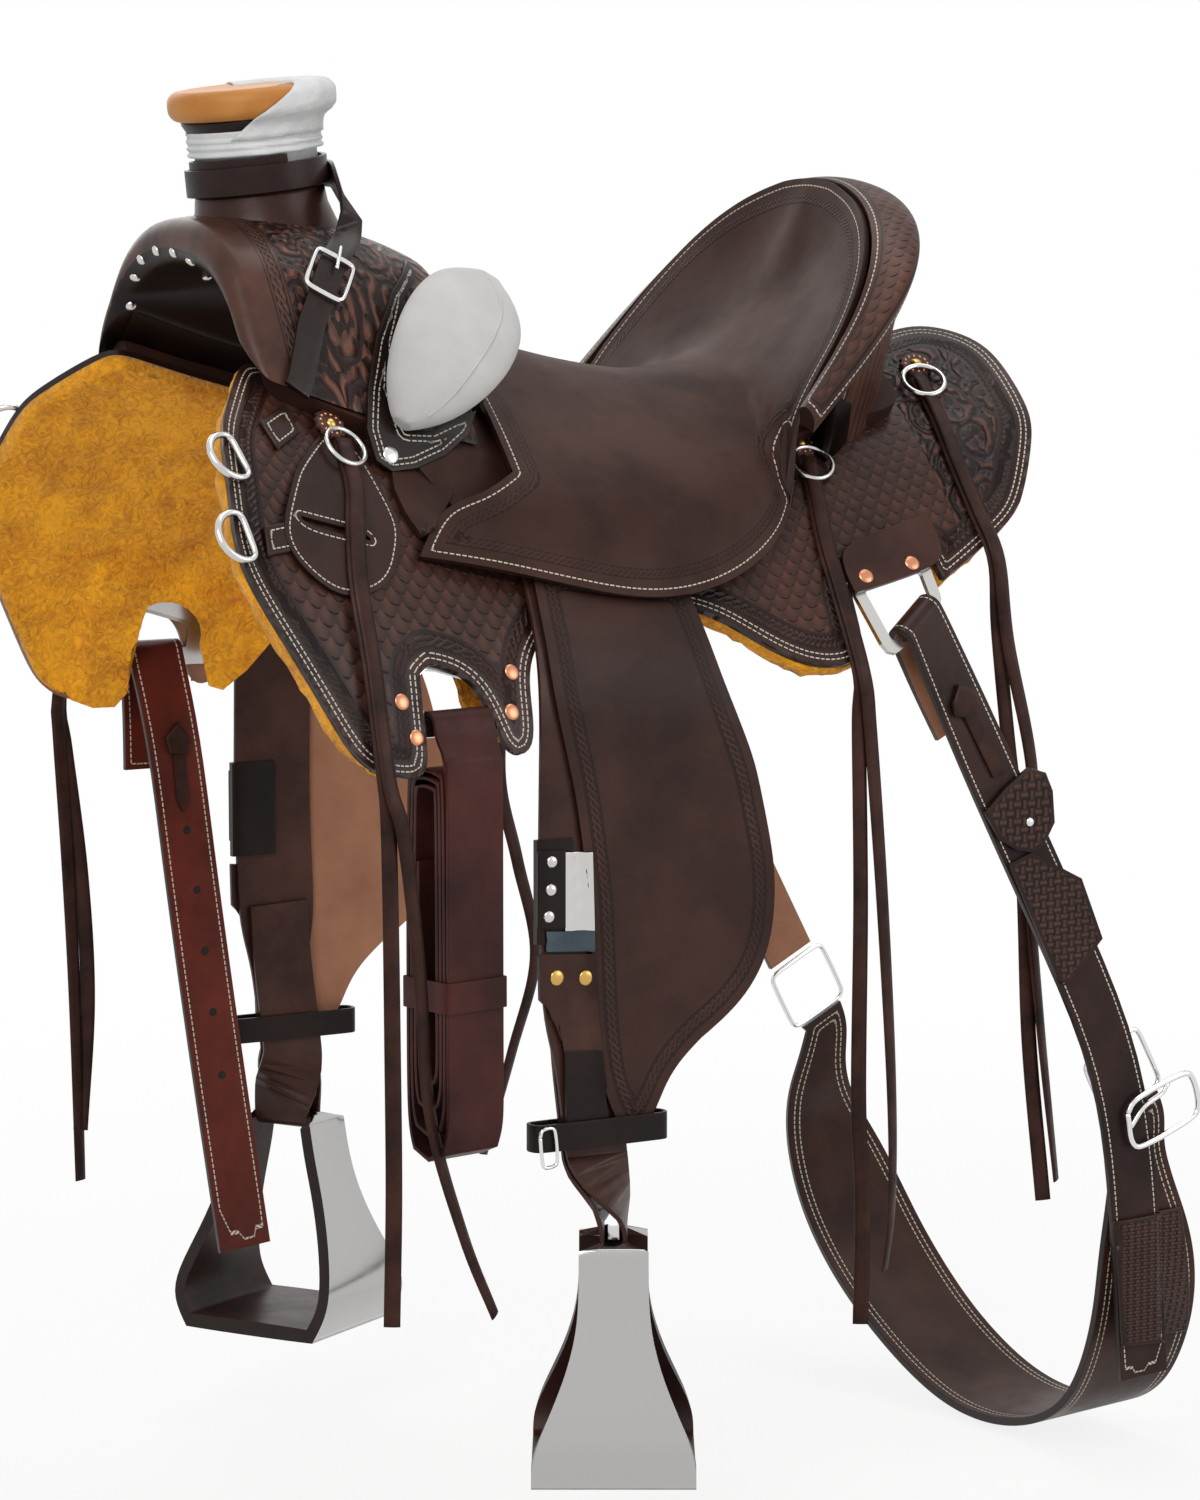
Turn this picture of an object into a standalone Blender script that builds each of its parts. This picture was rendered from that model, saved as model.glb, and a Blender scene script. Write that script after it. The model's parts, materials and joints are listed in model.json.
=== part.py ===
"""Wade saddle, built as an assembly of separate named pieces.

Metres, +Z up. The front of the saddle points along -Y and its near side is +X.
The origin is on the horse's back line, in the middle of the saddle.
"""
import math

import bmesh
import bpy
from mathutils import Matrix, Vector
from mathutils.bvhtree import BVHTree

# Driving dimensions of the horse's back, which every layer follows
BACK_HEIGHT = 0.020
BACK_ROCK = 0.54
BACK_LOW_Y = 0.020
BACK_RADIUS = 0.469
BACK_INNER_X = 0.045
BACK_INNER_ANGLE = math.radians(32)
FACET_Y = 0.05
FACET_S = 0.035

# Driving dimensions of the layers and their clearance
GAP = 0.0003
FLEECE = 0.014
SKIRT = 0.0057
BAR = 0.014
BAR_LIP = 0.0031
BAR_THIN_S = 0.105
SEAT_LEATHER = 0.005
COVER_LEATHER = 0.004
FENDER_LEATHER = 0.0038
STRAP_LEATHER = 0.0036
FENDER_LIFT = 0.0090
PLATE = 0.0030
DEE_PLATE = 0.0040

# Driving dimensions of the tree and seat
FORK_FRONT_Y = -0.362
FORK_BACK_Y = -0.186
FORK_TOP_LINE = [(-0.362, 0.172), (-0.30, 0.177), (-0.25, 0.171), (-0.20, 0.153), (-0.186, 0.146)]
FORK_SHOULDER = 0.112
FORK_SPLAY = 0.036
FOOT_CLEAR = 0.0016
GULLET_TOP = 0.138
GULLET_HALF = 0.092
GULLET_ROLL = 0.016
FORK_SEAT = 0.0009
HORN_CAP_RADIUS = 0.061
HORN_CAP_THICK = 0.026
HORN_NECK_RADIUS = 0.040
HORN_Y = -0.286
HORN_HEIGHT = 0.268
HORN_LEAN = math.radians(6)
HORN_WRAP = 0.0045
CANTLE_HALF = 0.168
CANTLE_TOP = 0.196
CANTLE_BACK_Y = 0.188
CANTLE_CORNER_Y = 0.020
CANTLE_ROLL = 0.044
CANTLE_ROLL_THICK = 0.012
CANTLE_WOOD = 0.016

# Driving dimensions of what hangs from the saddle
SWING_Y = -0.150
SWING_S = 0.165
LEATHER_WIDTH = 0.066
LEATHER_BOTTOM_WIDTH = 0.050
FACET_L = 0.035
STIRRUP_TOP_Z = -0.556
STIRRUP_HEIGHT = 0.165
STIRRUP_INNER_TOP = 0.056
STIRRUP_INNER_BOTTOM = 0.128
STIRRUP_WALL = 0.010
STIRRUP_TOP_DEPTH = 0.050
STIRRUP_TREAD_DEPTH = 0.118
STIRRUP_BAR = 0.008
STIRRUP_TURN = math.radians(60)
LATIGO_WIDTH = 0.050
LATIGO_THICK = 0.0030
BILLET_WIDTH = 0.044
BILLET_THICK = 0.0055
FLANK_SWING = math.radians(28)
CINCH_WIDTH = 0.096
CINCH_THICK = 0.0065
LOOP_CLEAR = 0.0004
RING_RADIUS = 0.0165
RING_WIRE = 0.0038
BREAST_DEE_RADIUS = 0.019
BREAST_DEE_WIRE = 0.0050
STRING_WIDTH = 0.012
STRING_THICK = 0.0024

# Heights of the layers above the back, each seated on the one below
SKIRT_IN = FLEECE + GAP
SKIRT_OUT = SKIRT_IN + SKIRT
BAR_IN = SKIRT_OUT + GAP
BAR_OUT = BAR_IN + BAR
FORK_FOOT = BAR_OUT + GAP
INNER_SINE = math.sin(BACK_INNER_ANGLE)
INNER_COSINE = math.cos(BACK_INNER_ANGLE)

for old in list(bpy.data.objects):
    bpy.data.objects.remove(old, do_unlink=True)


def back_height(y):
    """Height of the horse's back line, in straight runs of FACET_Y."""
    k = math.floor(y / FACET_Y)
    low, high = (BACK_HEIGHT + BACK_ROCK * (FACET_Y * i - BACK_LOW_Y) ** 2 for i in (k, k + 1))
    return low + (high - low) * (y / FACET_Y - k)


def rib(j, n):
    """The x and z of one long rib of the back, n metres out from it."""
    a = BACK_INNER_ANGLE + j * FACET_S / BACK_RADIUS
    x = BACK_INNER_X + BACK_RADIUS * (math.sin(a) - INNER_SINE) + n * math.sin(a)
    z = n * math.cos(a) - BACK_RADIUS * (INNER_COSINE - math.cos(a))
    return x, z


def on_back(y, s, n, side=1):
    """The point s metres down the horse's side and n metres out from it."""
    j = math.floor(s / FACET_S)
    share = s / FACET_S - j
    (xa, za), (xb, zb) = rib(j, n), rib(j + 1, n)
    return Vector((side * (xa + (xb - xa) * share), y, back_height(y) + za + (zb - za) * share))


def out_of_back(y, s, side=1):
    """The direction that points straight out of the back at one place."""
    step = 0.001
    down = on_back(y, s + step, 0, side) - on_back(y, s - step, 0, side)
    along_back = on_back(y + step, s, 0, side) - on_back(y - step, s, 0, side)
    return (side * down.cross(along_back)).normalized()


def height_over(x, y, n):
    """The height of the layer n metres above the back, straight over x and y."""
    j = -2
    while rib(j + 1, n)[0] < abs(x):
        j += 1
    (xa, za), (xb, zb) = rib(j, n), rib(j + 1, n)
    return back_height(y) + za + (zb - za) * (abs(x) - xa) / (xb - xa)


def finish(name, hexcode, rough, metal=0.0):
    """A plain material with one colour."""
    made = bpy.data.materials.get(name)
    if made:
        return made
    made = bpy.data.materials.new(name)
    made.use_nodes = True
    shader = made.node_tree.nodes["Principled BSDF"]
    parts = [int(hexcode[i : i + 2], 16) / 255 for i in (0, 2, 4)]
    colour = [c / 12.92 if c <= 0.04045 else ((c + 0.055) / 1.055) ** 2.4 for c in parts]
    shader.inputs["Base Color"].default_value = (*colour, 1)
    shader.inputs["Roughness"].default_value = rough
    shader.inputs["Metallic"].default_value = metal
    return made


DARK = ("dark_leather", "3a2019", 0.45)
BLACK = ("black_leather", "15100f", 0.4)
RED = ("latigo_leather", "4a1c17", 0.45)
TAN = ("rawhide", "b9783a", 0.5)
WOOD = ("tree_wood", "b08a5c", 0.7)
WOOL = ("fleece", "c8871c", 0.95)
WRAP = ("mule_hide", "d3d6da", 0.8)
SUEDE = ("grey_suede", "bdb9b4", 0.9)
STEEL = ("stainless", "c9c9c6", 0.25, 1.0)


def solid(name, points, faces, material, origin=None, sharp=35):
    """One closed body from points and faces, with its origin where asked."""
    shape = bmesh.new()
    corners = [shape.verts.new(p) for p in points]
    for face in faces:
        shape.faces.new([corners[i] for i in face])
    bmesh.ops.recalc_face_normals(shape, faces=shape.faces)
    if shape.calc_volume(signed=True) < 0:
        bmesh.ops.reverse_faces(shape, faces=shape.faces)
    bent = [f for f in shape.faces if any(abs((v.co - f.verts[0].co).dot(f.normal)) > 1e-6 for v in f.verts)]
    bmesh.ops.triangulate(shape, faces=bent)
    mesh = bpy.data.meshes.new(name)
    shape.to_mesh(mesh)
    shape.free()
    for face in mesh.polygons:
        face.use_smooth = True
    mesh.set_sharp_from_angle(angle=math.radians(sharp))
    mesh.materials.append(finish(f"{name}_{material[0]}", *material[1:]))
    made = bpy.data.objects.new(name, mesh)
    bpy.context.collection.objects.link(made)
    if origin is not None:
        mesh.transform(Matrix.Translation(-Vector(origin)))
        made.location = origin
    return made


def spline(points, steps):
    """A smooth line through every point, with some steps on each stretch."""
    points = [Vector(p) for p in points]
    line = []
    for i in range(len(points) - 1):
        before = points[i - 1] if i else points[i] * 2 - points[i + 1]
        after = points[i + 2] if i + 2 < len(points) else points[i + 1] * 2 - points[i]
        a, b = points[i], points[i + 1]
        for k in range(steps):
            t = k / steps
            line.append(
                0.5
                * (
                    2 * a
                    + (b - before) * t
                    + (2 * before - 5 * a + 4 * b - after) * t**2
                    + (3 * a - before - 3 * b + after) * t**3
                )
            )
    return line + [points[-1]]


def along(points, share):
    """The point at a share of a spline's own steps, from 0 to 1."""
    place = min(max(share, 0.0), 1.0) * (len(points) - 1)
    i = min(int(place), len(points) - 2)
    return points[i].lerp(points[i + 1], place - i)


def rounded(corners, steps=3):
    """A flat outline whose corners (u, v, radius) are filleted with arcs."""
    outline = []
    for i, (u, v, radius) in enumerate(corners):
        here = Vector((u, v))
        last = Vector(corners[i - 1][:2]) - here
        after = Vector(corners[(i + 1) % len(corners)][:2]) - here
        half = last.angle(after) / 2
        cut = min(radius / max(math.tan(half), 0.01), last.length * 0.48, after.length * 0.48)
        if radius <= 0 or cut < 1e-4:
            outline.append(here)
            continue
        start, end = here + last.normalized() * cut, here + after.normalized() * cut
        for k in range(steps + 1):
            t = k / steps
            outline.append(start * (1 - t) ** 2 + here * 2 * t * (1 - t) + end * t**2)
    return outline


def cut_lines(values, step):
    """Every multiple of a step that lies inside a range of values."""
    low, high = min(values), max(values)
    first, last = math.ceil(low / step + 0.01), math.floor(high / step - 0.01)
    return [i * step for i in range(first, last + 1)]


def flat_faces(outline, cuts_u, cuts_v, holes=()):
    """A flat outline cut into cells, as points, faces and its edges in order."""
    shape = bmesh.new()
    for loop in (outline, *holes):
        corners = []
        for point in loop:
            place = [point[0], point[1], 0]
            for axis, cuts in ((0, cuts_u), (1, cuts_v)):
                near = [c for c in cuts if abs(c - place[axis]) < 0.0006]
                if near:
                    place[axis] = near[0]
            corners.append(shape.verts.new(place))
        for i, corner in enumerate(corners):
            shape.edges.new((corners[i - 1], corner))
    bmesh.ops.triangle_fill(shape, edges=shape.edges[:], use_beauty=True)
    for axis, cuts in ((0, cuts_u), (1, cuts_v)):
        for cut in cuts:
            place, normal = [0, 0, 0], [0, 0, 0]
            place[axis], normal[axis] = cut, 1
            bmesh.ops.bisect_plane(
                shape,
                geom=shape.verts[:] + shape.edges[:] + shape.faces[:],
                dist=1e-6,
                plane_co=place,
                plane_no=normal,
            )
    bmesh.ops.remove_doubles(shape, verts=shape.verts[:], dist=2e-6)
    bmesh.ops.recalc_face_normals(shape, faces=shape.faces[:])
    if sum(f.normal.z * f.calc_area() for f in shape.faces) < 0:
        bmesh.ops.reverse_faces(shape, faces=shape.faces[:])
    spare = [e for e in shape.edges if len(e.link_faces) == 2 and not on_a_cut(e, cuts_u, cuts_v)]
    bmesh.ops.dissolve_edges(shape, edges=spare, use_verts=False)
    spare = [v for v in shape.verts if len(v.link_edges) == 2 and not v.is_boundary]
    bmesh.ops.dissolve_verts(shape, verts=spare)
    shape.verts.index_update()
    points = [(v.co.x, v.co.y) for v in shape.verts]
    faces = [[v.index for v in f.verts] for f in shape.faces]
    edges = [
        (e.link_loops[0].vert.index, e.link_loops[0].link_loop_next.vert.index)
        for e in shape.edges
        if e.is_boundary
    ]
    shape.free()
    return points, faces, edges


def on_a_cut(edge, cuts_u, cuts_v):
    """Whether an edge of the flat outline lies along one of the cuts."""
    a, b = (v.co for v in edge.verts)
    for axis, cuts in ((0, cuts_u), (1, cuts_v)):
        if any(abs(a[axis] - c) < 1e-5 and abs(b[axis] - c) < 1e-5 for c in cuts):
            return True
    return False


def middle_of(loop, axis):
    """The middle of a loop of flat points along one axis."""
    return (min(p[axis] for p in loop) + max(p[axis] for p in loop)) / 2


def panel(name, outline, under, over, material, facet=FACET_S, holes=(), origin=None):
    """A leather or metal sheet: a flat outline laid between two surfaces."""
    cuts_u = cut_lines([p[0] for p in outline], FACET_Y) + [middle_of(h, 0) for h in holes]
    cuts_v = cut_lines([p[1] for p in outline], facet) + [middle_of(h, 1) for h in holes]
    flat, faces, edges = flat_faces(outline, cuts_u, cuts_v, holes)
    count = len(flat)
    points = [over(u, v) for u, v in flat] + [under(u, v) for u, v in flat]
    sides = [(b, a, a + count, b + count) for a, b in edges]
    backs = [[i + count for i in reversed(face)] for face in faces]
    return solid(name, points, faces + backs + sides, material, origin)


def layer(name, outline, inner, outer, side, material, **more):
    """A panel that follows the horse's side between two heights over it."""

    def height(level, s):
        return level(s) if callable(level) else level

    return panel(
        name,
        outline,
        lambda y, s: on_back(y, s, height(inner, s), side),
        lambda y, s: on_back(y, s, height(outer, s), side),
        material,
        **more,
    )


def inset(corners, distance):
    """The same corners (u, v, radius), moved in from every edge by a distance."""
    moved = []
    count = len(corners)
    area = sum(
        corners[i][0] * corners[(i + 1) % count][1] - corners[(i + 1) % count][0] * corners[i][1]
        for i in range(count)
    )
    turn = 1 if area > 0 else -1
    for i, (u, v, radius) in enumerate(corners):
        here = Vector((u, v))
        last = (here - Vector(corners[i - 1][:2])).normalized()
        after = (Vector(corners[(i + 1) % count][:2]) - here).normalized()
        normals = [Vector((-d.y, d.x)) * turn for d in (last, after)]
        bisector = (normals[0] + normals[1]).normalized()
        reach = distance / max(bisector.dot(normals[0]), 0.2)
        place = here + bisector * reach
        moved.append((place.x, place.y, max(radius - distance, 0.003)))
    return moved


def oval_loop(middle, across, out, half_a, half_b, radius, steps=3):
    """A closed loop in the plane of two directions: a rounded rectangle."""
    corners = [(-half_a, -half_b), (half_a, -half_b), (half_a, half_b), (-half_a, half_b)]
    flat = rounded([(a, b, radius) for a, b in corners], steps)
    return [middle + across * p.x + out * p.y for p in flat]


def closed_grid(name, top, low, material, origin=None, sharp=35):
    """A sheet between two grids of points that have the same rows."""
    rows, columns = len(top), len(top[0])
    points = [p for row in top for p in row] + [p for row in low for p in row]
    count = rows * columns
    faces = []
    for r in range(rows - 1):
        for c in range(columns - 1):
            a, b = r * columns + c, (r + 1) * columns + c
            faces.append((a, a + 1, b + 1, b))
            faces.append((b + count, b + 1 + count, a + 1 + count, a + count))
    rim = [c for c in range(columns)]
    rim += [r * columns + columns - 1 for r in range(1, rows)]
    rim += [(rows - 1) * columns + c for c in range(columns - 2, -1, -1)]
    rim += [r * columns for r in range(rows - 2, 0, -1)]
    for i, here in enumerate(rim):
        after = rim[(i + 1) % len(rim)]
        faces.append((after, here, here + count, after + count))
    return solid(name, points, faces, material, origin, sharp)


def value_at(values, i, count):
    """One value for every point, or the value of this point."""
    if isinstance(values, (list, tuple)):
        place = i / max(count - 1, 1) * (len(values) - 1)
        k = min(int(place), len(values) - 2)
        return values[k] + (values[k + 1] - values[k]) * (place - k)
    return values


def swept(path, across, width, thick, closed=False):
    """Points and faces of a flat strap that follows a path."""
    path = [Vector(p) for p in path]
    count = len(path)
    points = []
    for i, place in enumerate(path):
        after = path[(i + 1) % count] if closed or i + 1 < count else place
        before = path[i - 1] if closed or i else place
        forward = (after - before).normalized()
        way = across[i] if isinstance(across, list) else across
        sideways = (way - forward * way.dot(forward)).normalized()
        face = forward.cross(sideways)
        w, t = value_at(width, i, count) / 2, value_at(thick, i, count) / 2
        points += [place + sideways * a + face * b for a, b in ((w, -t), (w, t), (-w, t), (-w, -t))]
    faces = []
    for i in range(count if closed else count - 1):
        for k in range(4):
            a, b = i * 4 + k, i * 4 + (k + 1) % 4
            c, d = (i + 1) % count * 4 + (k + 1) % 4, (i + 1) % count * 4 + k
            faces.append((a, b, c, d))
    if not closed:
        last = (count - 1) * 4
        faces += [(3, 2, 1, 0), (last, last + 1, last + 2, last + 3)]
    return points, faces


def strap(name, path, across, width, thick, material, origin=None, closed=False):
    """A flat strap along a path."""
    points, faces = swept(path, across, width, thick, closed)
    return solid(name, points, faces, material, origin)


def wire(name, path, normal, thick, material, origin=None, sides=6):
    """A closed ring of round wire that lies in one plane."""
    path = [Vector(p) for p in path]
    count = len(path)
    points, faces = [], []
    for i, place in enumerate(path):
        forward = (path[(i + 1) % count] - path[i - 1]).normalized()
        outward = forward.cross(normal).normalized()
        for k in range(sides):
            turn = math.tau * k / sides
            points.append(place + (outward * math.cos(turn) + normal * math.sin(turn)) * thick / 2)
    for i in range(count):
        for k in range(sides):
            a, b = i * sides + k, i * sides + (k + 1) % sides
            c, d = (i + 1) % count * sides + (k + 1) % sides, (i + 1) % count * sides + k
            faces.append((a, b, c, d))
    return solid(name, points, faces, material, origin, sharp=70)


def turned(name, profile, base, axis, material, cover, steps=32, ring=False):
    """A turned piece on the fork: a profile of (radius, height) spun about an axis.

    A height of None puts that ring of points on the fork's own leather.
    """
    turn = Vector((0, 0, 1)).rotation_difference(axis).to_matrix()
    points, faces = [], []
    for radius, height in profile:
        for k in range(steps):
            angle = math.tau * k / steps
            flat = Vector((radius * math.cos(angle), radius * math.sin(angle), height or 0.0))
            place = base + turn @ flat
            if height is None:
                place.z = over_cover(cover, place) + FORK_SEAT
            points.append(place)
    count = len(profile)
    for i in range(count if ring else count - 1):
        for k in range(steps):
            a, b = i * steps + k, i * steps + (k + 1) % steps
            c, d = (i + 1) % count * steps + (k + 1) % steps, (i + 1) % count * steps + k
            faces.append((a, b, c, d))
    if not ring:
        points.append(Vector((base.x, base.y, over_cover(cover, base) + FORK_SEAT)))
        faces += [(k, (k + 1) % steps, len(points) - 1) for k in range(steps)]
        faces.append([(count - 1) * steps + k for k in range(steps)])
    return solid(name, points, faces, material, sharp=50)


def over_cover(cover, place):
    """The height of the fork's leather straight under or over a place."""
    return cover.ray_cast(Vector((place.x, place.y, 1)), Vector((0, 0, -1)))[0].z


# Skirts and fleece

NOTCH_Y = (-0.292, -0.231)
NOTCH_TOP_S = 0.279
DEE_NOTCH = (0.096, 0.174)
DEE_NOTCH_S = 0.192
FLAP_REACH = 0.020
LEG_S = 0.366
FLEECE_CLEAR = 0.034


def skirt_outline(notch_grow, dee_s, leg):
    """The skirt's outline, with its two openings grown by the given sizes."""
    front, rear = NOTCH_Y[0] - notch_grow, NOTCH_Y[1] + notch_grow
    top = NOTCH_TOP_S - notch_grow
    back_leg = [
        (rear, top, 0.03),
        (rear, leg - 0.026, 0.006),
        (-0.200, leg - 0.036, 0.010),
        (-0.199, 0.266, 0.02),
    ]
    if notch_grow:
        back_leg = [(-0.192, top, 0.02)]
    return rounded(
        [
            (-0.357, 0.062, 0.01),
            (-0.405, 0.150, 0.05),
            (-0.424, 0.262, 0.05),
            (-0.345, leg + 0.014, 0.016),
            (front, leg, 0.006),
            (front, top, 0.03),
            *back_leg,
            (-0.168, 0.226, 0.04),
            (-0.100, 0.198, 0.05),
            (-0.030, 0.204, 0.05),
            (0.045, 0.258, 0.04),
            (DEE_NOTCH[0], 0.256, 0.008),
            (DEE_NOTCH[0], dee_s, 0.004),
            (DEE_NOTCH[1], dee_s - 0.012, 0.004),
            (DEE_NOTCH[1] + 0.003, 0.208, 0.006),
            (0.262, 0.172, 0.03),
            (0.305, 0.105, 0.04),
            (0.306, 0.020, 0.04),
            (0.268, -0.029, 0.02),
            (0.198, -0.022, 0.03),
            (0.135, 0.034, 0.03),
            (0.020, 0.056, 0.05),
            (-0.240, 0.056, 0.05),
        ]
    )


def build_skirts():
    """Both skirts with the fleece that lines them."""
    for side, tag in ((1, "near"), (-1, "off")):
        layer(f"skirt_{tag}", skirt_outline(0, DEE_NOTCH_S, LEG_S), SKIRT_IN, SKIRT_OUT, side, DARK)
        lining = skirt_outline(FLEECE_CLEAR, DEE_NOTCH_S + FLAP_REACH - 0.026, LEG_S - 0.002)
        layer(f"fleece_{tag}", lining, 0, FLEECE, side, WOOL)


# Rigging

PLATE_OUTLINE = (-0.322, 0.246, -0.203)
PLATE_BAR = 0.015
PLATE_BAR_S = 0.336
PLATE_SLOPE = -0.334


def plate_bar_s(y):
    """How far down the side the rigging slot's straight lower edge lies."""
    return PLATE_BAR_S - PLATE_BAR + PLATE_SLOPE * (y - NOTCH_Y[0])


def plate_point(y, s, level, side):
    """A point of the rigging plate, which is straight along the saddle."""
    middle = (NOTCH_Y[0] + NOTCH_Y[1]) / 2 - 0.013
    place = on_back(middle, s, level, side)
    slope = (back_height(middle + 0.01) - back_height(middle - 0.01)) / 0.02
    return Vector((place.x, y, place.z + slope * (y - middle)))


def plate_bar(side):
    """The middle of the rigging plate's bar and the direction it runs in."""
    y = (NOTCH_Y[0] + NOTCH_Y[1]) / 2
    level = SKIRT_IN - GAP - PLATE / 2
    ends = [plate_point(v, plate_bar_s(v) + PLATE_BAR / 2, level, side) for v in (y - 0.01, y + 0.01)]
    return (ends[0] + ends[1]) / 2, (ends[1] - ends[0]).normalized()


def build_rigging():
    """The in-skirt rigging plates, rear dees and the flaps that clasp them."""
    y0, s0, y1 = PLATE_OUTLINE
    outer = rounded(
        [
            (y0, s0, 0.03),
            (y1, s0, 0.03),
            (y1, plate_bar_s(y1) + PLATE_BAR, 0.01),
            (y0, plate_bar_s(y0) + PLATE_BAR, 0.01),
        ]
    )
    front, rear = NOTCH_Y[0] + 0.004, NOTCH_Y[1] - 0.004
    hole = rounded(
        [
            (front, NOTCH_TOP_S + 0.004, 0.02),
            (rear, NOTCH_TOP_S + 0.004, 0.02),
            (rear, plate_bar_s(rear), 0.0015),
            (front, plate_bar_s(front), 0.0015),
        ]
    )
    plate_out = SKIRT_IN - GAP
    for side, tag in ((1, "near"), (-1, "off")):
        panel(
            f"rigging_plate_{tag}",
            outer,
            lambda y, s: plate_point(y, s, plate_out - PLATE, side),
            lambda y, s: plate_point(y, s, plate_out, side),
            STEEL,
            holes=(hole,),
        )
        build_rear_dee(side, tag)


DEE_BAR = 0.009
DEE_Y = 0.125
DEE_S = 0.190
DEE_TOP_S = DEE_NOTCH_S + 0.0025
DEE_CORNERS = [
    (DEE_NOTCH[0] + 0.002, DEE_TOP_S, 0.008),
    (DEE_NOTCH[1] - 0.004, DEE_TOP_S - 0.010, 0.008),
    (DEE_NOTCH[1] - 0.003, DEE_TOP_S + 0.027, 0.011),
    (DEE_NOTCH[0] + 0.015, DEE_TOP_S + 0.066, 0.011),
]


def dee_point(y, s, level, side):
    """A point of the rear dee, which is flat and lies on one facet of the back."""
    middle = on_back(DEE_Y, DEE_S, level, side)
    rearward = (on_back(DEE_Y + 0.01, DEE_S, level, side) - middle) / 0.01
    down = (on_back(DEE_Y, DEE_S + 0.01, level, side) - middle) / 0.01
    return middle + rearward * (y - DEE_Y) + down * (s - DEE_S)


def dee_bar(side):
    """The middle of a rear dee's lower bar and the direction it runs in."""
    a, b = (Vector(DEE_CORNERS[i][:2]) for i in (3, 2))
    run = (b - a).normalized()
    inward = Vector((run.y, -run.x)) * DEE_BAR / 2
    a, b = a.lerp(b, 0.547) + inward, a.lerp(b, 0.607) + inward
    level = SKIRT_OUT - DEE_PLATE / 2
    ends = [dee_point(p.x, p.y, level, side) for p in (a, b)]
    return (ends[0] + ends[1]) / 2, (ends[1] - ends[0]).normalized()


def build_rear_dee(side, tag):
    """A flat rear dee and the riveted flap that holds it to the skirt."""
    panel(
        f"rear_dee_{tag}",
        rounded(DEE_CORNERS),
        lambda y, s: dee_point(y, s, SKIRT_OUT - DEE_PLATE, side),
        lambda y, s: dee_point(y, s, SKIRT_OUT, side),
        STEEL,
        holes=(rounded(inset(DEE_CORNERS, DEE_BAR)),),
    )
    y0, y1 = DEE_CORNERS[0][0], DEE_CORNERS[1][0]
    flap = rounded(
        [
            (y0 - 0.003, DEE_NOTCH_S - 0.026, 0.006),
            (y1 + 0.012, DEE_NOTCH_S - 0.040, 0.012),
            (y1 + 0.016, DEE_NOTCH_S + 0.002, 0.008),
            (y0 - 0.003, DEE_NOTCH_S + 0.013, 0.006),
        ]
    )
    layer(f"rear_flap_{tag}", flap, SKIRT_OUT + GAP, SKIRT_OUT + GAP + COVER_LEATHER, side, DARK)


# Tree, fork and horn


def bar_level(s):
    """The bar's outer face, which thins toward its lower edge."""
    share = min(max((s - BAR_THIN_S) / FACET_S, 0.0), 1.0)
    return BAR_OUT + (BAR_IN + BAR_LIP - BAR_OUT) * share


def build_bars():
    """The two tree bars that rest on the skirts."""
    outline = rounded(
        [
            (-0.346, 0.066, 0.010),
            (-0.240, 0.060, 0.05),
            (0.060, 0.060, 0.04),
            (0.198, 0.020, 0.015),
            (0.202, 0.062, 0.02),
            (0.088, 0.071, 0.03),
            (0.048, 0.136, 0.04),
            (-0.060, SWING_S + 0.012, 0.04),
            (-0.190, SWING_S + 0.020, 0.03),
            (-0.262, 0.102, 0.03),
            (-0.348, 0.094, 0.010),
        ]
    )
    for side, tag in ((1, "near"), (-1, "off")):
        layer(f"tree_bar_{tag}", outline, BAR_IN, bar_level, side, WOOD)


def on_line(line, y):
    """The height of a line of (y, z) points at one place."""
    for (ya, za), (yb, zb) in zip(line, line[1:]):
        if y <= yb:
            break
    return za + (zb - za) * (y - ya) / (yb - ya)


def arch_lines(y):
    """The outer and inner half arches of the fork at one station."""
    top = on_line(FORK_TOP_LINE, y)
    wide, foot = FORK_SHOULDER, FORK_SHOULDER + FORK_SPLAY
    floor = height_over(foot, y, FORK_FOOT) + FOOT_CLEAR
    outer = [
        (0, top),
        (wide * 0.45, top - 0.004),
        (wide * 0.80, top - 0.026),
        (wide, top - 0.060),
        ((wide + foot) / 2 + 0.001, (top - 0.060 + floor) / 2),
        (foot, floor),
    ]
    crown = min(GULLET_TOP, top - 0.034)
    floor = height_over(GULLET_HALF, y, FORK_FOOT) + FOOT_CLEAR
    inner = [
        (0, crown),
        (GULLET_HALF * 0.45, crown - 0.004),
        (GULLET_HALF * 0.78, crown - 0.016),
        (GULLET_HALF * 0.95, (crown - 0.016 + floor) / 2),
        (GULLET_HALF, floor),
    ]
    return [spline([Vector((x, y, z)) for x, z in line], 4) for line in (outer, inner)]


def fork_point(u, y, depth, end=0):
    """A point of the fork: u from -1 to 1 over the arch, in from one face."""
    outer, inner = arch_lines(y)
    a, b = along(outer, abs(u)), along(inner, abs(u))
    if end:
        a, b = b, a
    place = a.lerp(b, depth / (b - a).length)
    return Vector((-place.x if u < 0 else place.x, place.y, place.z))


ARCH_STEPS = 14
ARCH = [-1 + 2 * i / ARCH_STEPS for i in range(ARCH_STEPS + 1)]
ROLL_Y = FORK_FRONT_Y + GULLET_ROLL
FORK_STATIONS = [FORK_BACK_Y, -0.20, -0.25, -0.30, ROLL_Y]


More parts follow.
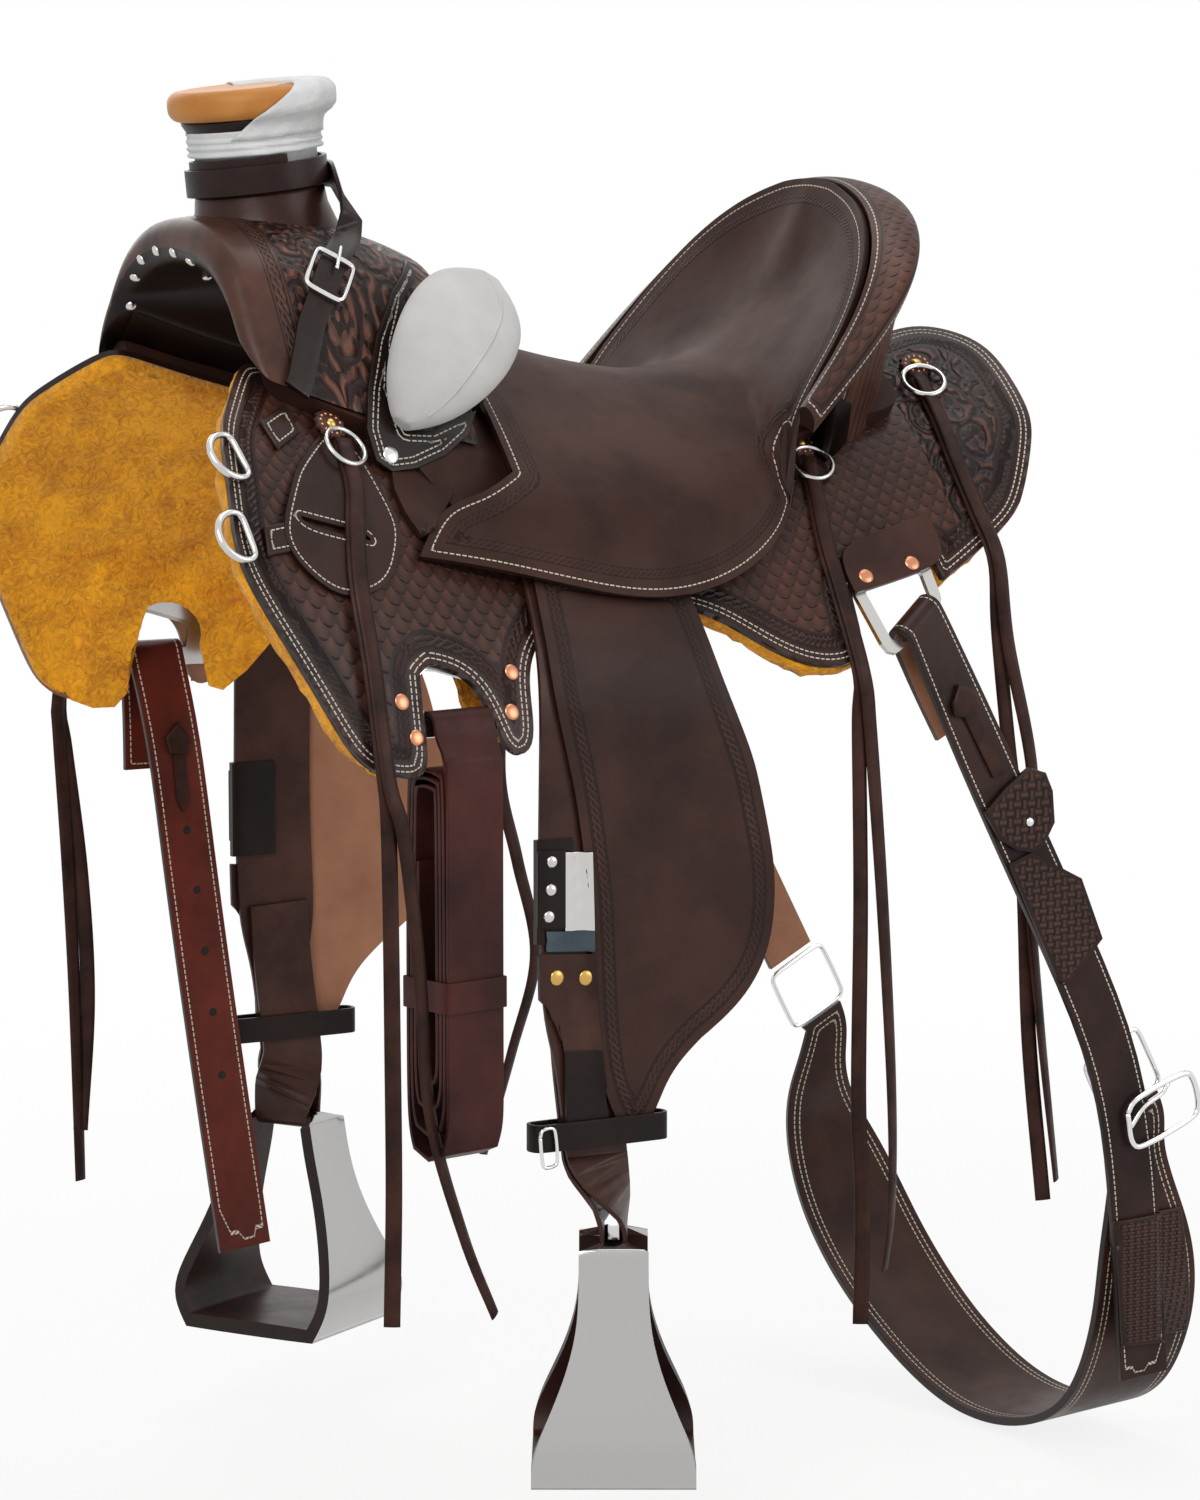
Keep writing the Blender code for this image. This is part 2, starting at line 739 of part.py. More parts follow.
def build_fork():
    """The fork's wood and the leather that covers it, with a rolled front edge."""
    skin = COVER_LEATHER + GAP * 2
    stations = [FORK_BACK_Y - 0.002] + FORK_STATIONS[1:-1] + [ROLL_Y + GAP * 2]
    points, faces = [], []
    for u in ARCH:
        points += [fork_point(u, y, skin) for y in stations]
        points += [fork_point(u, y, skin, 1) for y in reversed(stations)]
    section_faces(points, faces, len(ARCH), len(stations) * 2)
    solid("tree_fork", points, faces, WOOD)

    top, low = [], []
    turns = (-64, -30, 0, 30, 64)
    for u in ARCH:
        outer, inner = fork_point(u, ROLL_Y, 0), fork_point(u, ROLL_Y, 0, 1)
        middle, half = (outer + inner) / 2, (outer - inner) / 2
        roll, flat = [], []
        for i, turn in enumerate(turns):
            angle = math.radians(turn)
            ahead = Vector((0, -GULLET_ROLL * math.cos(angle), 0))
            roll.append(middle + ahead - half * math.sin(angle))
            a, b = fork_point(u, ROLL_Y, COVER_LEATHER), fork_point(u, ROLL_Y, COVER_LEATHER, 1)
            flat.append(a.lerp(b, (i + 1) / (len(turns) + 1)))
        outside = [fork_point(u, y, 0) for y in FORK_STATIONS]
        inside = [fork_point(u, y, 0, 1) for y in reversed(FORK_STATIONS)]
        top.append(outside + roll + inside)
        outside = [fork_point(u, y, COVER_LEATHER) for y in FORK_STATIONS]
        inside = [fork_point(u, y, COVER_LEATHER, 1) for y in reversed(FORK_STATIONS)]
        low.append(outside + flat + inside)
    closed_grid("fork_cover", top, low, DARK)
    return tree_of(top)


def tree_of(grid):
    """A search tree over the outer face of a grid of points."""
    columns = len(grid[0])
    faces = []
    for r in range(len(grid) - 1):
        for c in range(columns - 1):
            a, b = r * columns + c, (r + 1) * columns + c
            faces += [(a, a + 1, b + 1), (a, b + 1, b)]
    return BVHTree.FromPolygons([p for row in grid for p in row], faces)


def section_faces(points, faces, count, size):
    """The faces between sections of a closed outline, with both ends shut."""
    for i in range(count - 1):
        for k in range(size):
            a, b = i * size + k, i * size + (k + 1) % size
            faces.append((a, b, b + size, a + size))
    half = size // 2
    for start in (0, (count - 1) * size):
        for k in range(half - 1):
            faces.append((start + k, start + k + 1, start + size - 2 - k, start + size - 1 - k))


HORN_AXIS = Vector((0, -math.sin(HORN_LEAN), math.cos(HORN_LEAN)))
HORN_BASE = Vector((0, HORN_Y, on_line(FORK_TOP_LINE, HORN_Y)))
HORN_TALL = (HORN_HEIGHT - HORN_BASE.z) / HORN_AXIS.z
WRAP_INNER = HORN_NECK_RADIUS + GAP * 1.5
WRAP_OUTER = WRAP_INNER + HORN_WRAP


def build_horn(cover):
    """The horn with its cap, and the mule hide round its neck."""
    tall = HORN_TALL
    cap, neck = HORN_CAP_RADIUS, HORN_NECK_RADIUS
    rim = HORN_CAP_THICK / 2
    under = tall - 2 * rim
    profile = [
        (neck * 0.5, None), (neck, None), (neck, 0.010), (neck, under - 0.012),
        (neck + 0.010, under - 0.001),
    ]
    for turn in range(-60, 91, 30):
        angle = math.radians(turn)
        profile.append((cap - rim * 0.8 + rim * 0.8 * math.cos(angle), tall - rim + rim * math.sin(angle)))
    turned("horn", profile, HORN_BASE, HORN_AXIS, TAN, cover)
    high = under - 0.013
    wrap = [(WRAP_INNER, None), (WRAP_OUTER, None), (WRAP_OUTER, 0.010), (WRAP_OUTER, high)]
    wrap += [(WRAP_INNER, high), (WRAP_INNER, 0.010)]
    turned("horn_wrap", wrap, HORN_BASE, HORN_AXIS, WRAP, cover, ring=True)


ROPE_STRAP_WIDTH = 0.020
ROPE_STRAP_THICK = 0.0034
ROPE_TURNS = 1.85
ROPE_TAIL = [
    (0.058, -0.250, 0.180),
    (0.080, -0.254, 0.163),
    (0.095, -0.277, 0.142),
    (0.111, -0.297, 0.115),
    (0.122, -0.312, 0.092),
    (0.133, -0.326, 0.064),
    (0.141, -0.337, 0.048),
]


def build_rope_strap(cover):
    """The rope strap twice round the horn, its tail and its buckle."""
    radius = WRAP_OUTER + GAP * 2 + ROPE_STRAP_THICK / 2
    turn = Vector((0, 0, 1)).rotation_difference(HORN_AXIS).to_matrix()
    path, across = [], []
    steps = 37
    for i in range(steps + 1):
        share = i / steps
        angle = math.radians(56) + (1 - share) * math.tau * ROPE_TURNS
        reach = radius + (ROPE_STRAP_THICK + GAP * 2) * share * ROPE_TURNS
        high = 0.0335 - 0.011 * share
        path.append(HORN_BASE + turn @ Vector((reach * math.cos(angle), reach * math.sin(angle), high)))
        across.append(HORN_AXIS)
    lift = ROPE_STRAP_THICK / 2 + 0.0022
    tail, lean = [], []
    for place in spline(ROPE_TAIL, 2):
        near, normal = cover.find_nearest(place)[:2]
        if normal.dot(place - Vector((0, place.y, 0.05))) < 0:
            normal = -normal
        if len(tail) < 2:
            near, normal = place, Vector((0.80, 0.25, 0.55)).normalized()
        tail.append(near + normal * lift)
        lean.append(normal)
    down = (tail[-1] - tail[2]).normalized()
    for i, place in enumerate(tail):
        path.append(place)
        side = lean[i].cross(down).normalized()
        share = min(1.0, (i + 1) / 3)
        across.append(HORN_AXIS.lerp(side if side.dot(HORN_AXIS) > 0 else -side, share).normalized())
    strap("rope_strap", path, across, ROPE_STRAP_WIDTH, ROPE_STRAP_THICK, DARK)
    normal = lean[5]
    side = normal.cross(down).normalized()
    along_strap = side.cross(normal)
    middle = tail[5] + normal * (ROPE_STRAP_THICK / 2 + 0.0019 + 0.0006)
    frame = oval_loop(middle, side, along_strap, ROPE_STRAP_WIDTH / 2 + 0.0055, 0.018, 0.006)
    wire("rope_buckle", frame, normal, 0.0038, STEEL)


# Seat and cantle

SPINE = [
    (-0.166, 0.104),
    (-0.120, 0.083),
    (-0.070, 0.069),
    (-0.020, 0.058),
    (0.035, 0.050),
    (0.080, 0.056),
    (0.115, 0.075),
    (0.145, 0.106),
    (0.168, 0.146),
    (0.183, 0.186),
]
SEAT_OVER_FENDER = FENDER_LEATHER + SEAT_LEATHER + 0.0026
RIM_GAP = 0.0008
SEAT_CREASE = {5: 0.8, 6: 0.6, 7: 0.6, 8: 0.8}


def cantle_rim(degrees):
    """The cantle's top edge, from its rear middle at 0 to a corner at 90."""
    angle = math.radians(degrees)
    back = max(math.cos(angle), 0.0001)
    return Vector(
        (
            CANTLE_HALF * math.sin(angle),
            CANTLE_CORNER_Y + (CANTLE_BACK_Y - CANTLE_CORNER_Y) * back**0.45,
            -0.010 + (CANTLE_TOP + 0.010) * back**0.62,
        )
    )


def seat_rows():
    """Half sections of the seat, each from its middle to its edge."""
    edge = SKIRT_OUT + SEAT_LEATHER + GAP * 3
    over = SKIRT_OUT + FENDER_LIFT + SEAT_OVER_FENDER
    rows = [
        (
            -0.166, (0.060, -0.168, 0.088), (-0.176, 0.128, 0.050),
            (-0.235, 0.158, 0.036), (-0.268, 0.203, edge),
        ),
        (
            -0.140, (0.066, -0.142, 0.075), (-0.158, 0.132, 0.055),
            (-0.195, 0.170, 0.046), (-0.222, 0.204, over - 0.0026),
        ),
        (
            -0.105, (0.075, -0.105, 0.062), (-0.122, 0.132, 0.057),
            (-0.142, 0.172, 0.049), (-0.160, 0.207, over),
        ),
        (
            -0.060, (0.085, -0.060, 0.050), (-0.065, 0.130, 0.058),
            (-0.076, 0.175, 0.050), (-0.085, 0.214, over),
        ),
        (
            -0.010, (0.090, -0.010, 0.044), (-0.010, 0.125, 0.056),
            (-0.012, 0.165, 0.048), (-0.015, 0.198, over),
        ),
        (
            0.040, (0.090, 0.040, 0.043), (0.036, 0.110, 0.054),
            (0.040, 0.138, 0.045), (0.045, 0.162, edge + 0.006),
        ),
        (
            0.075, (0.088, 0.068, 0.044), (0.052, 0.086, 0.050),
            (0.060, 0.108, 0.044), (0.068, 0.130, edge + 0.007),
        ),
    ]
    made = []
    for y, quarter, *rest in rows:
        made.append([Vector((0, y, on_line(SPINE, y))), Vector(quarter), *(on_back(*p) for p in rest)])
    for degrees, y in ((86, 0.098), (74, 0.116), (58, 0.134), (42, 0.149), (27, 0.164)):
        a, b = Vector((0, y, on_line(SPINE, y))), cantle_rim(degrees)
        dish = 0.018 * (1 - degrees / 100)
        shares = (0, 0.32, 0.58, 0.82, 1)
        made.append([a.lerp(b, t) - Vector((0, 0, dish * math.sin(math.pi * t))) for t in shares])
    made.append([cantle_rim(degrees) for degrees in (0, 3.2, 6.5, 9.8, 13)])
    return made


def whole_row(half):
    """A whole section of the seat, from edge to edge."""
    mirror = [Vector((-p.x, p.y, p.z)) for p in half[1:]]
    return spline([*reversed(mirror), *half], 2)


def sunk(grid, depth):
    """The same grid, moved down along its own normals."""
    rows, columns = len(grid), len(grid[0])
    made = []
    for r in range(rows):
        line = []
        for c in range(columns):
            over = grid[min(r + 1, rows - 1)][c] - grid[max(r - 1, 0)][c]
            beside = grid[r][min(c + 1, columns - 1)] - grid[r][max(c - 1, 0)]
            normal = beside.cross(over).normalized()
            deep = depth * SEAT_CREASE.get(r, 1.0)
            line.append(grid[r][c] - normal * deep)
        made.append(line)
    return made


def build_seat():
    """The seat leather with both jockeys, and the ground seat under it."""
    grid = [whole_row(row) for row in seat_rows()]
    closed_grid("seat", grid, sunk(grid, SEAT_LEATHER), DARK)
    top = [row[5:-5] for row in sunk(grid, SEAT_LEATHER + GAP * 2)[1:-2]]
    low = [row[5:-5] for row in sunk(grid, SEAT_LEATHER + GAP * 2 + 0.005)[1:-2]]
    closed_grid("ground_seat", top, low, STEEL)


RIM_DEGREES = [-86, -74, -60, -46, -32, -18, -6, 6, 18, 32, 46, 60, 74, 86]


def rim_at(degrees):
    """The rim on either side, and the level way out of it."""
    place = cantle_rim(abs(degrees))
    run = cantle_rim(abs(degrees) + 2) - cantle_rim(max(abs(degrees) - 2, 0.5))
    way = Vector((abs(run.y), abs(run.x), 0)).normalized()
    side = -1 if degrees < 0 else 1
    return Vector((side * place.x, place.y, place.z)), Vector((side * way.x, way.y, 0))


def build_cantle():
    """The cantle's wood, the leather behind it and the wide roll on top."""
    thick = CANTLE_ROLL_THICK
    points, faces = [], []
    for degrees in RIM_DEGREES:
        place, way = rim_at(degrees)
        reach = CANTLE_ROLL * (0.35 + 0.65 * math.cos(math.radians(degrees)) ** 0.7)
        start = place + way * (SEAT_LEATHER + RIM_GAP)
        section = [
            (0, -0.001),
            (reach * 0.35, -0.003),
            (reach * 0.75, 0.001),
            (reach * 0.97, 0.006),
            (reach, 0.010),
            (reach * 0.9, thick + 0.005),
            (reach * 0.5, thick + 0.001),
            (0, thick),
        ]
        points += [start + way * a - Vector((0, 0, b)) for a, b in section]
    section_faces(points, faces, len(RIM_DEGREES), 8)
    solid("cantle_binding", points, faces, DARK)
    wood = SEAT_LEATHER + RIM_GAP
    for name, start, wide, material in (
        ("tree_cantle", wood, CANTLE_WOOD, WOOD),
        ("cantle_back", wood + CANTLE_WOOD + GAP, COVER_LEATHER, DARK),
    ):
        points, faces = [], []
        for degrees in RIM_DEGREES[1:-1]:
            place, way = rim_at(degrees)
            top = place - Vector((0, 0, thick + 0.0055))
            for reach, share in ((start, 0), (start + wide, 0), (start + wide, 1), (start, 1)):
                spot = top + way * reach
                floor = height_over(max(abs(spot.x), 0.02), spot.y, BAR_OUT) + 0.0024
                spot.z = spot.z + (floor - spot.z) * share
                points.append(spot)
        section_faces(points, faces, len(RIM_DEGREES) - 2, 4)
        solid(name, points, faces, material)


# Fenders, stirrup leathers and stirrups

FENDER_TOP_S = 0.190
FENDER_IN = SKIRT_OUT + FENDER_LIFT
FENDER_GAP = 0.0008
HANG_S = 0.245
HANG_BEND = 0.11
HANG_FADE = 0.20


def hanging_knot(l, lift):
    """One knot of a hanging sheet l metres down, as x and z under the back."""
    s = min(FENDER_TOP_S + l, HANG_S)
    a = BACK_INNER_ANGLE + s / BACK_RADIUS
    x = BACK_INNER_X + BACK_RADIUS * (math.sin(a) - INNER_SINE) + lift * math.sin(a)
    z = lift * math.cos(a) - BACK_RADIUS * (INNER_COSINE - math.cos(a))
    rest = l - (HANG_S - FENDER_TOP_S)
    if rest > 0:
        turn = min(rest / HANG_BEND, math.pi / 2 - a)
        x += HANG_BEND * (math.sin(a + turn) - math.sin(a))
        z -= HANG_BEND * (math.cos(a) - math.cos(a + turn)) + rest - turn * HANG_BEND
    fade = max(0.0, 1 - max(l, 0.0) / HANG_FADE)
    return x, z, fade


def fender_point(y, l, lift, side=1):
    """A point of the fender, which hangs under its own piece of the back."""
    k = math.floor(l / FACET_L)
    share = l / FACET_L - k
    ends = []
    for i in (k, k + 1):
        x, z, fade = hanging_knot(i * FACET_L, lift)
        ends.append(Vector((side * x, y, z + back_height(y) * fade + back_height(SWING_Y) * (1 - fade))))
    return ends[0].lerp(ends[1], share)


FENDER_OUTLINE = [
    (-0.180, 0.000, 0.008),
    (-0.183, 0.095, 0.05),
    (-0.165, 0.166, 0.08),
    (-0.154, 0.239, 0.08),
    (-0.150, 0.330, 0.08),
    (-0.143, 0.380, 0.03),
    (-0.124, 0.421, 0.006),
    (-0.099, 0.404, 0.010),
    (-0.089, 0.372, 0.03),
    (-0.060, 0.350, 0.03),
    (-0.022, 0.325, 0.04),
    (0.002, 0.285, 0.04),
    (0.003, 0.230, 0.05),
    (-0.015, 0.147, 0.06),
    (-0.041, 0.080, 0.05),
    (-0.050, 0.000, 0.008),
]


def swing_origin(side):
    """Where the stirrup leather hangs on its bar."""
    return on_back(SWING_Y, SWING_S, BAR_IN + BAR_LIP, side)


def build_fender(side, tag):
    """The fender, a long panel over the stirrup leather."""
    panel(
        f"fender_{tag}",
        rounded(FENDER_OUTLINE),
        lambda y, l: fender_point(y, l, FENDER_IN, side),
        lambda y, l: fender_point(y, l, FENDER_IN + FENDER_LEATHER, side),
        DARK,
        facet=FACET_L,
        origin=swing_origin(side),
    )


STIRRUP_X = 0.262
STIRRUP_Y = -0.140
STIRRUP_AXIS = Vector((math.sin(STIRRUP_TURN), -math.cos(STIRRUP_TURN), 0))
STIRRUP_FORWARD = Vector((math.cos(STIRRUP_TURN), math.sin(STIRRUP_TURN), 0))
LEATHER_LEVEL = FENDER_IN - FENDER_GAP - STRAP_LEATHER / 2
BUNDLE_GAP = STRAP_LEATHER + 0.0014


def flip(vector, side):
    """The same vector on the near or the off side."""
    return Vector((side * vector.x, vector.y, vector.z))


def leather_y(z):
    """How far forward the stirrup leather's middle lies at one height."""
    points = [
        (-0.60, -0.140), (-0.49, -0.146), (-0.42, -0.155), (-0.30, -0.160), (-0.16, -0.158),
        (-0.08, SWING_Y), (1, SWING_Y),
    ]
    return on_line(points, z)


def leather_path():
    """The stirrup leather: over the bar, down, round the stirrup and up again."""
    half = STRAP_LEATHER / 2
    path, across, width = [], [], []
    level = Vector((0, 1, 0))
    for s in (SWING_S - 0.015, 0.175, SWING_S + 0.020):
        path.append(on_back(SWING_Y, s, LEATHER_LEVEL))
        ahead, behind = (on_back(SWING_Y + d, s, LEATHER_LEVEL) for d in (0.02, -0.02))
        across.append((ahead - behind).normalized())
        width.append(LEATHER_WIDTH)
    for k in range(1, 9):
        l = k * FACET_L
        y = leather_y(fender_point(SWING_Y, l, LEATHER_LEVEL).z)
        path.append(fender_point(y, l, LEATHER_LEVEL))
        ahead, behind = (fender_point(y + d, l, LEATHER_LEVEL) for d in (0.02, -0.02))
        across.append((ahead - behind).normalized())
        width.append(LEATHER_WIDTH)
    x = path[-1].x
    for z in (-0.395, -0.425, -0.455, -0.494):
        path.append(Vector((x, leather_y(z), z)))
        width.append(LEATHER_WIDTH if z > -0.40 else LEATHER_BOTTOM_WIDTH)
        across.append(level)
    reach = STIRRUP_BAR / 2 * math.sqrt(2) + LOOP_CLEAR + half
    middle = Vector((STIRRUP_X, STIRRUP_Y, STIRRUP_TOP_Z))
    start = Vector((x - BUNDLE_GAP / 2, leather_y(-0.494), -0.494))
    down = [
        (0.05, -0.500), (0.15, -0.506), (0.30, -0.514), (0.50, -0.522), (0.72, -0.531),
        (0.90, -0.539), (1.0, -0.547),
    ]
    for sign in (1, -1):
        for share, z in down[::sign]:
            turn = STIRRUP_TURN * share
            way = Vector((math.cos(turn), math.sin(turn), 0))
            spread = BUNDLE_GAP / 2 + (reach + 0.0006 - BUNDLE_GAP / 2) * share**0.5
            place = start.lerp(middle, share) + way * spread * sign
            path.append(Vector((place.x, place.y, z)))
            across.append(Vector((-way.y, way.x, 0)))
        for degrees in (350, 325, 300, 270, 240, 215, 190) if sign > 0 else ():
            angle = math.radians(degrees)
            place = STIRRUP_FORWARD * math.cos(angle) + Vector((0, 0, math.sin(angle)))
            path.append(middle + place * (reach + 0.0003))
            across.append(-STIRRUP_AXIS)
    for z in (-0.494, -0.455, -0.42, -0.38):
        path.append(Vector((x - BUNDLE_GAP, leather_y(z), z)))
        across.append(level)
    width += [LEATHER_BOTTOM_WIDTH] * (len(path) - len(width))
    return path, across, width


COVER_Z = -0.3025
COVER_TALL = 0.075
HOBBLE_Z = -0.480


def build_leather(side, tag):
    """The stirrup leather, its buckle cover and the hobble strap."""
    path, across, width = leather_path()
    strap(
        f"stirrup_leather_{tag}",
        [flip(p, side) for p in path],
        [flip(a, side) for a in across],
        width,
        STRAP_LEATHER,
        DARK,
        origin=swing_origin(side),
    )
    x = path[10].x
    front = leather_y(COVER_Z) - LEATHER_WIDTH / 2
    half = STRAP_LEATHER / 2 + LOOP_CLEAR + 0.0011
    clip = [Vector((x + half, front + 0.026, COVER_Z)), Vector((x + half, front + 0.001, COVER_Z))]
    clip += [
        Vector((x + half * 0.6, front - 0.0018, COVER_Z)),
        Vector((x - half * 0.6, front - 0.0018, COVER_Z)),
    ]
    clip += [Vector((x - half, front + 0.001, COVER_Z)), Vector((x - half, front + 0.034, COVER_Z))]
    strap(
        f"buckle_cover_{tag}", [flip(p, side) for p in clip], Vector((0, 0, 1)), COVER_TALL, 0.0022, BLACK,
        origin=swing_origin(side),
    )
    out = x + STRAP_LEATHER / 2 + FENDER_GAP + FENDER_LEATHER
    inward = x - BUNDLE_GAP - STRAP_LEATHER / 2
    middle = Vector(((out + inward) / 2, -0.1445, HOBBLE_Z))
    loop = oval_loop(
        middle, Vector((0, 1, 0)), Vector((1, 0, 0)), 0.0555, (out - inward) / 2 + 0.0007 + 0.0014, 0.009
    )
    strap(
        f"hobble_strap_{tag}", [flip(p, side) for p in loop], Vector((0, 0, 1)), 0.020, 0.0028, BLACK,
        origin=swing_origin(side), closed=True,
    )


def stirrup_half():
    """Half of the stirrup's outline in the plane of its opening, and its depths."""
    top, low = STIRRUP_INNER_TOP / 2, STIRRUP_INNER_BOTTOM / 2
    wall = STIRRUP_WALL / 2
    tall = STIRRUP_HEIGHT
    return [
        (0.0, 0.0, STIRRUP_BAR, STIRRUP_BAR),
        (top * 0.92, 0.0, STIRRUP_BAR, STIRRUP_BAR),
        (top + wall, -0.004, STIRRUP_TOP_DEPTH, STIRRUP_WALL),
        (top + wall + 0.004, -0.030, STIRRUP_TOP_DEPTH, STIRRUP_WALL),
        (top + wall + 0.012, -0.060, STIRRUP_TOP_DEPTH + 0.002, STIRRUP_WALL),
        (low + wall - 0.012, -0.095, 0.072, STIRRUP_WALL),
        (low + wall, -0.128, 0.104, STIRRUP_WALL),
        (low + wall, -tall + 0.018, STIRRUP_TREAD_DEPTH, STIRRUP_WALL),
        (low - 0.006, -tall, STIRRUP_TREAD_DEPTH, STIRRUP_WALL * 1.2),
        (low * 0.5, -tall, STIRRUP_TREAD_DEPTH, STIRRUP_WALL * 1.2),
    ]


def build_stirrup(side, tag):
    """A bell stirrup: one bent band with the bar that the leather goes round."""
    half = stirrup_half()
    loop = half + [(-a, z, d, t) for a, z, d, t in reversed(half[1:])]
    middle = flip(Vector((STIRRUP_X, STIRRUP_Y, STIRRUP_TOP_Z)), side)
    axis, forward = flip(STIRRUP_AXIS, side), flip(STIRRUP_FORWARD, side)
    count = len(loop)
    path = [Vector((a, 0, z)) for a, z, d, t in loop]
    points, faces = [], []
    for i, (a, z, deep, wall) in enumerate(loop):
        run = (path[(i + 1) % count] - path[i - 1]).normalized()
        outward = Vector((-run.z, 0, run.x))
        for d, t in ((1, -1), (1, 1), (-1, 1), (-1, -1)):
            place = path[i] + outward * t * wall / 2
            points.append(middle + axis * place.x + Vector((0, 0, place.z)) + forward * d * deep / 2)
    for i in range(count):
        for k in range(4):
            b, c = (i * 4 + (k + 1) % 4), ((i + 1) % count * 4 + (k + 1) % 4)
            faces.append((i * 4 + k, b, c, (i + 1) % count * 4 + k))
    solid(f"stirrup_{tag}", points, faces, STEEL, origin=middle)


# Bucking rolls

ROLL_TIP = Vector((0.157, -0.256, 0.026))
ROLL_TOP = Vector((0.130, -0.165, 0.130))
ROLL_OUT = Vector((0.92, -0.05, 0.38))
ROLL_HALF_WIDTH = 0.046
ROLL_THICK = 0.036


def build_rolls(cover):
    """The padded rolls that stand against the fork, each one pillow."""
    run = (ROLL_TOP - ROLL_TIP).normalized()
    out = (ROLL_OUT - run * ROLL_OUT.dot(run)).normalized()
    wide = run.cross(out).normalized()
    middle = (ROLL_TIP + ROLL_TOP) / 2
    half = (ROLL_TOP - ROLL_TIP).length / 2
    rows, size = 9, 12
    points, faces = [], []
    for i in range(rows):
        share = -0.97 + 1.94 * i / (rows - 1)
        swell = math.sqrt(1 - share**2)
        for k in range(size):
            angle = math.tau * (k + 0.5) / size
            w = ROLL_HALF_WIDTH * (swell * (1 + 0.22 * share)) * math.cos(angle)
            rise = ROLL_THICK * (0.30 + 0.70 * swell)
            t = 0.1 + rise * (0.5 + 0.5 * math.sin(angle))
            points.append(middle + run * half * share + wide * w + out * t)
    section_rings(points, faces, rows, size)
    slack = space_between(points, faces, cover, out) - GAP * 2
    for side, tag in ((1, "near"), (-1, "off")):
        seated = [flip(place - out * slack, side) for place in points]
        solid(f"bucking_roll_{tag}", seated, faces, SUEDE, sharp=80)


def space_between(points, faces, cover, out):
    """How far a body can move against a direction before it meets the fork."""
    body = BVHTree.FromPolygons(points, faces)
    gaps = [cover.ray_cast(p, -out)[3] for p in points]
    for i in range(61):
        for k in range(21):
            y = FORK_BACK_Y + (ROLL_Y - FORK_BACK_Y) * k / 20
            gaps.append(body.ray_cast(fork_point(i / 60, y, 0), out)[3])
    return min(g for g in gaps if g is not None)


def section_rings(points, faces, count, size):
    """The faces between round sections, with a flat cap at both ends."""
    for i in range(count - 1):
        for k in range(size):
            a, b = i * size + k, i * size + (k + 1) % size
            faces.append((a, b, b + size, a + size))
    faces.append([k for k in range(size)])
    faces.append([(count - 1) * size + k for k in range(size)])


# Straps, cinch and small hardware

LATIGO_ACROSS = Vector((-0.20, 0.98, 0)).normalized()
LATIGO_OUT = Vector((0.98, 0.20, 0)).normalized()
LATIGO_TURNS = 4
LATIGO_LOW = -0.462
LATIGO_KEEPER_Z = -0.366


def build_latigo():
    """The near latigo, one unbroken strap folded into a hanging bundle."""
    bar, run = plate_bar(1)
    pitch = LATIGO_THICK + 0.0010
    loop = math.hypot(PLATE_BAR, PLATE) / 2 + LOOP_CLEAR * 2 + LATIGO_THICK / 2
    over_bar = run.cross(Vector((0, 0, 1))).normalized()
    path, across = [], []
    for degrees in (190, 160, 130, 100, 70, 40, 10):
        angle = math.radians(degrees)
        path.append(bar + (over_bar * math.cos(angle) + Vector((0, 0, math.sin(angle)))) * loop)
        across.append(run)
    path.append(path[-1] + over_bar * 0.0014 + Vector((0, 0, -0.010)))
    across.append(run)
    centre = Vector((bar.x + 0.004, bar.y - 0.004, 0))
    for k in range(LATIGO_TURNS):
        wide = 0.0100 + pitch * (LATIGO_TURNS - 1 - k)
        high = bar.z - 0.034 - pitch * k
        deep = LATIGO_LOW + (pitch + 0.010) * k
        legs = []
        if k:
            for degrees in (150, 90, 30):
                angle = math.radians(degrees)
                turn = wide + pitch / 2
                rise = Vector((0, 0, high + turn * 0.5 * math.sin(angle)))
                legs.append(centre + LATIGO_OUT * (turn * math.cos(angle) - pitch / 2) + rise)
        for share in (0.04 if k else -0.04, 0.5, 0.9):
            legs.append(centre + LATIGO_OUT * wide + Vector((0, 0, high + (deep - high) * share)))
        for degrees in (0, -45, -90, -135, -180):
            angle = math.radians(degrees)
            drop = Vector((0, 0, deep + wide * math.sin(angle)))
            legs.append(centre + LATIGO_OUT * wide * math.cos(angle) + drop)
        for share in (0.75, 0.25):
            inner = centre - LATIGO_OUT * wide
            legs.append(inner + Vector((0, 0, high + (deep - high) * share)))
        path += legs
        across += [LATIGO_ACROSS] * len(legs)
    strap("latigo", path, across, LATIGO_WIDTH, LATIGO_THICK, RED, origin=bar)
    middle = centre + Vector((0, 0, LATIGO_KEEPER_Z))
    half_a = LATIGO_WIDTH / 2 + LOOP_CLEAR + 0.0013
    half_b = 0.0100 + pitch * (LATIGO_TURNS - 1) + LATIGO_THICK / 2 + LOOP_CLEAR + 0.0015
    loop = oval_loop(middle, LATIGO_ACROSS, LATIGO_OUT, half_a, half_b, 0.003)
    strap("latigo_keeper", loop, Vector((0, 0, 1)), 0.022, 0.0022, RED, origin=bar, closed=True)


OFF_BILLET_HANG = [
    (-0.2225, -0.256, -0.240),
    (-0.2190, -0.247, -0.330),
    (-0.2140, -0.237, -0.420),
    (-0.2080, -0.227, -0.510),
    (-0.2000, -0.217, -0.600),
    (-0.1960, -0.212, -0.645),
]


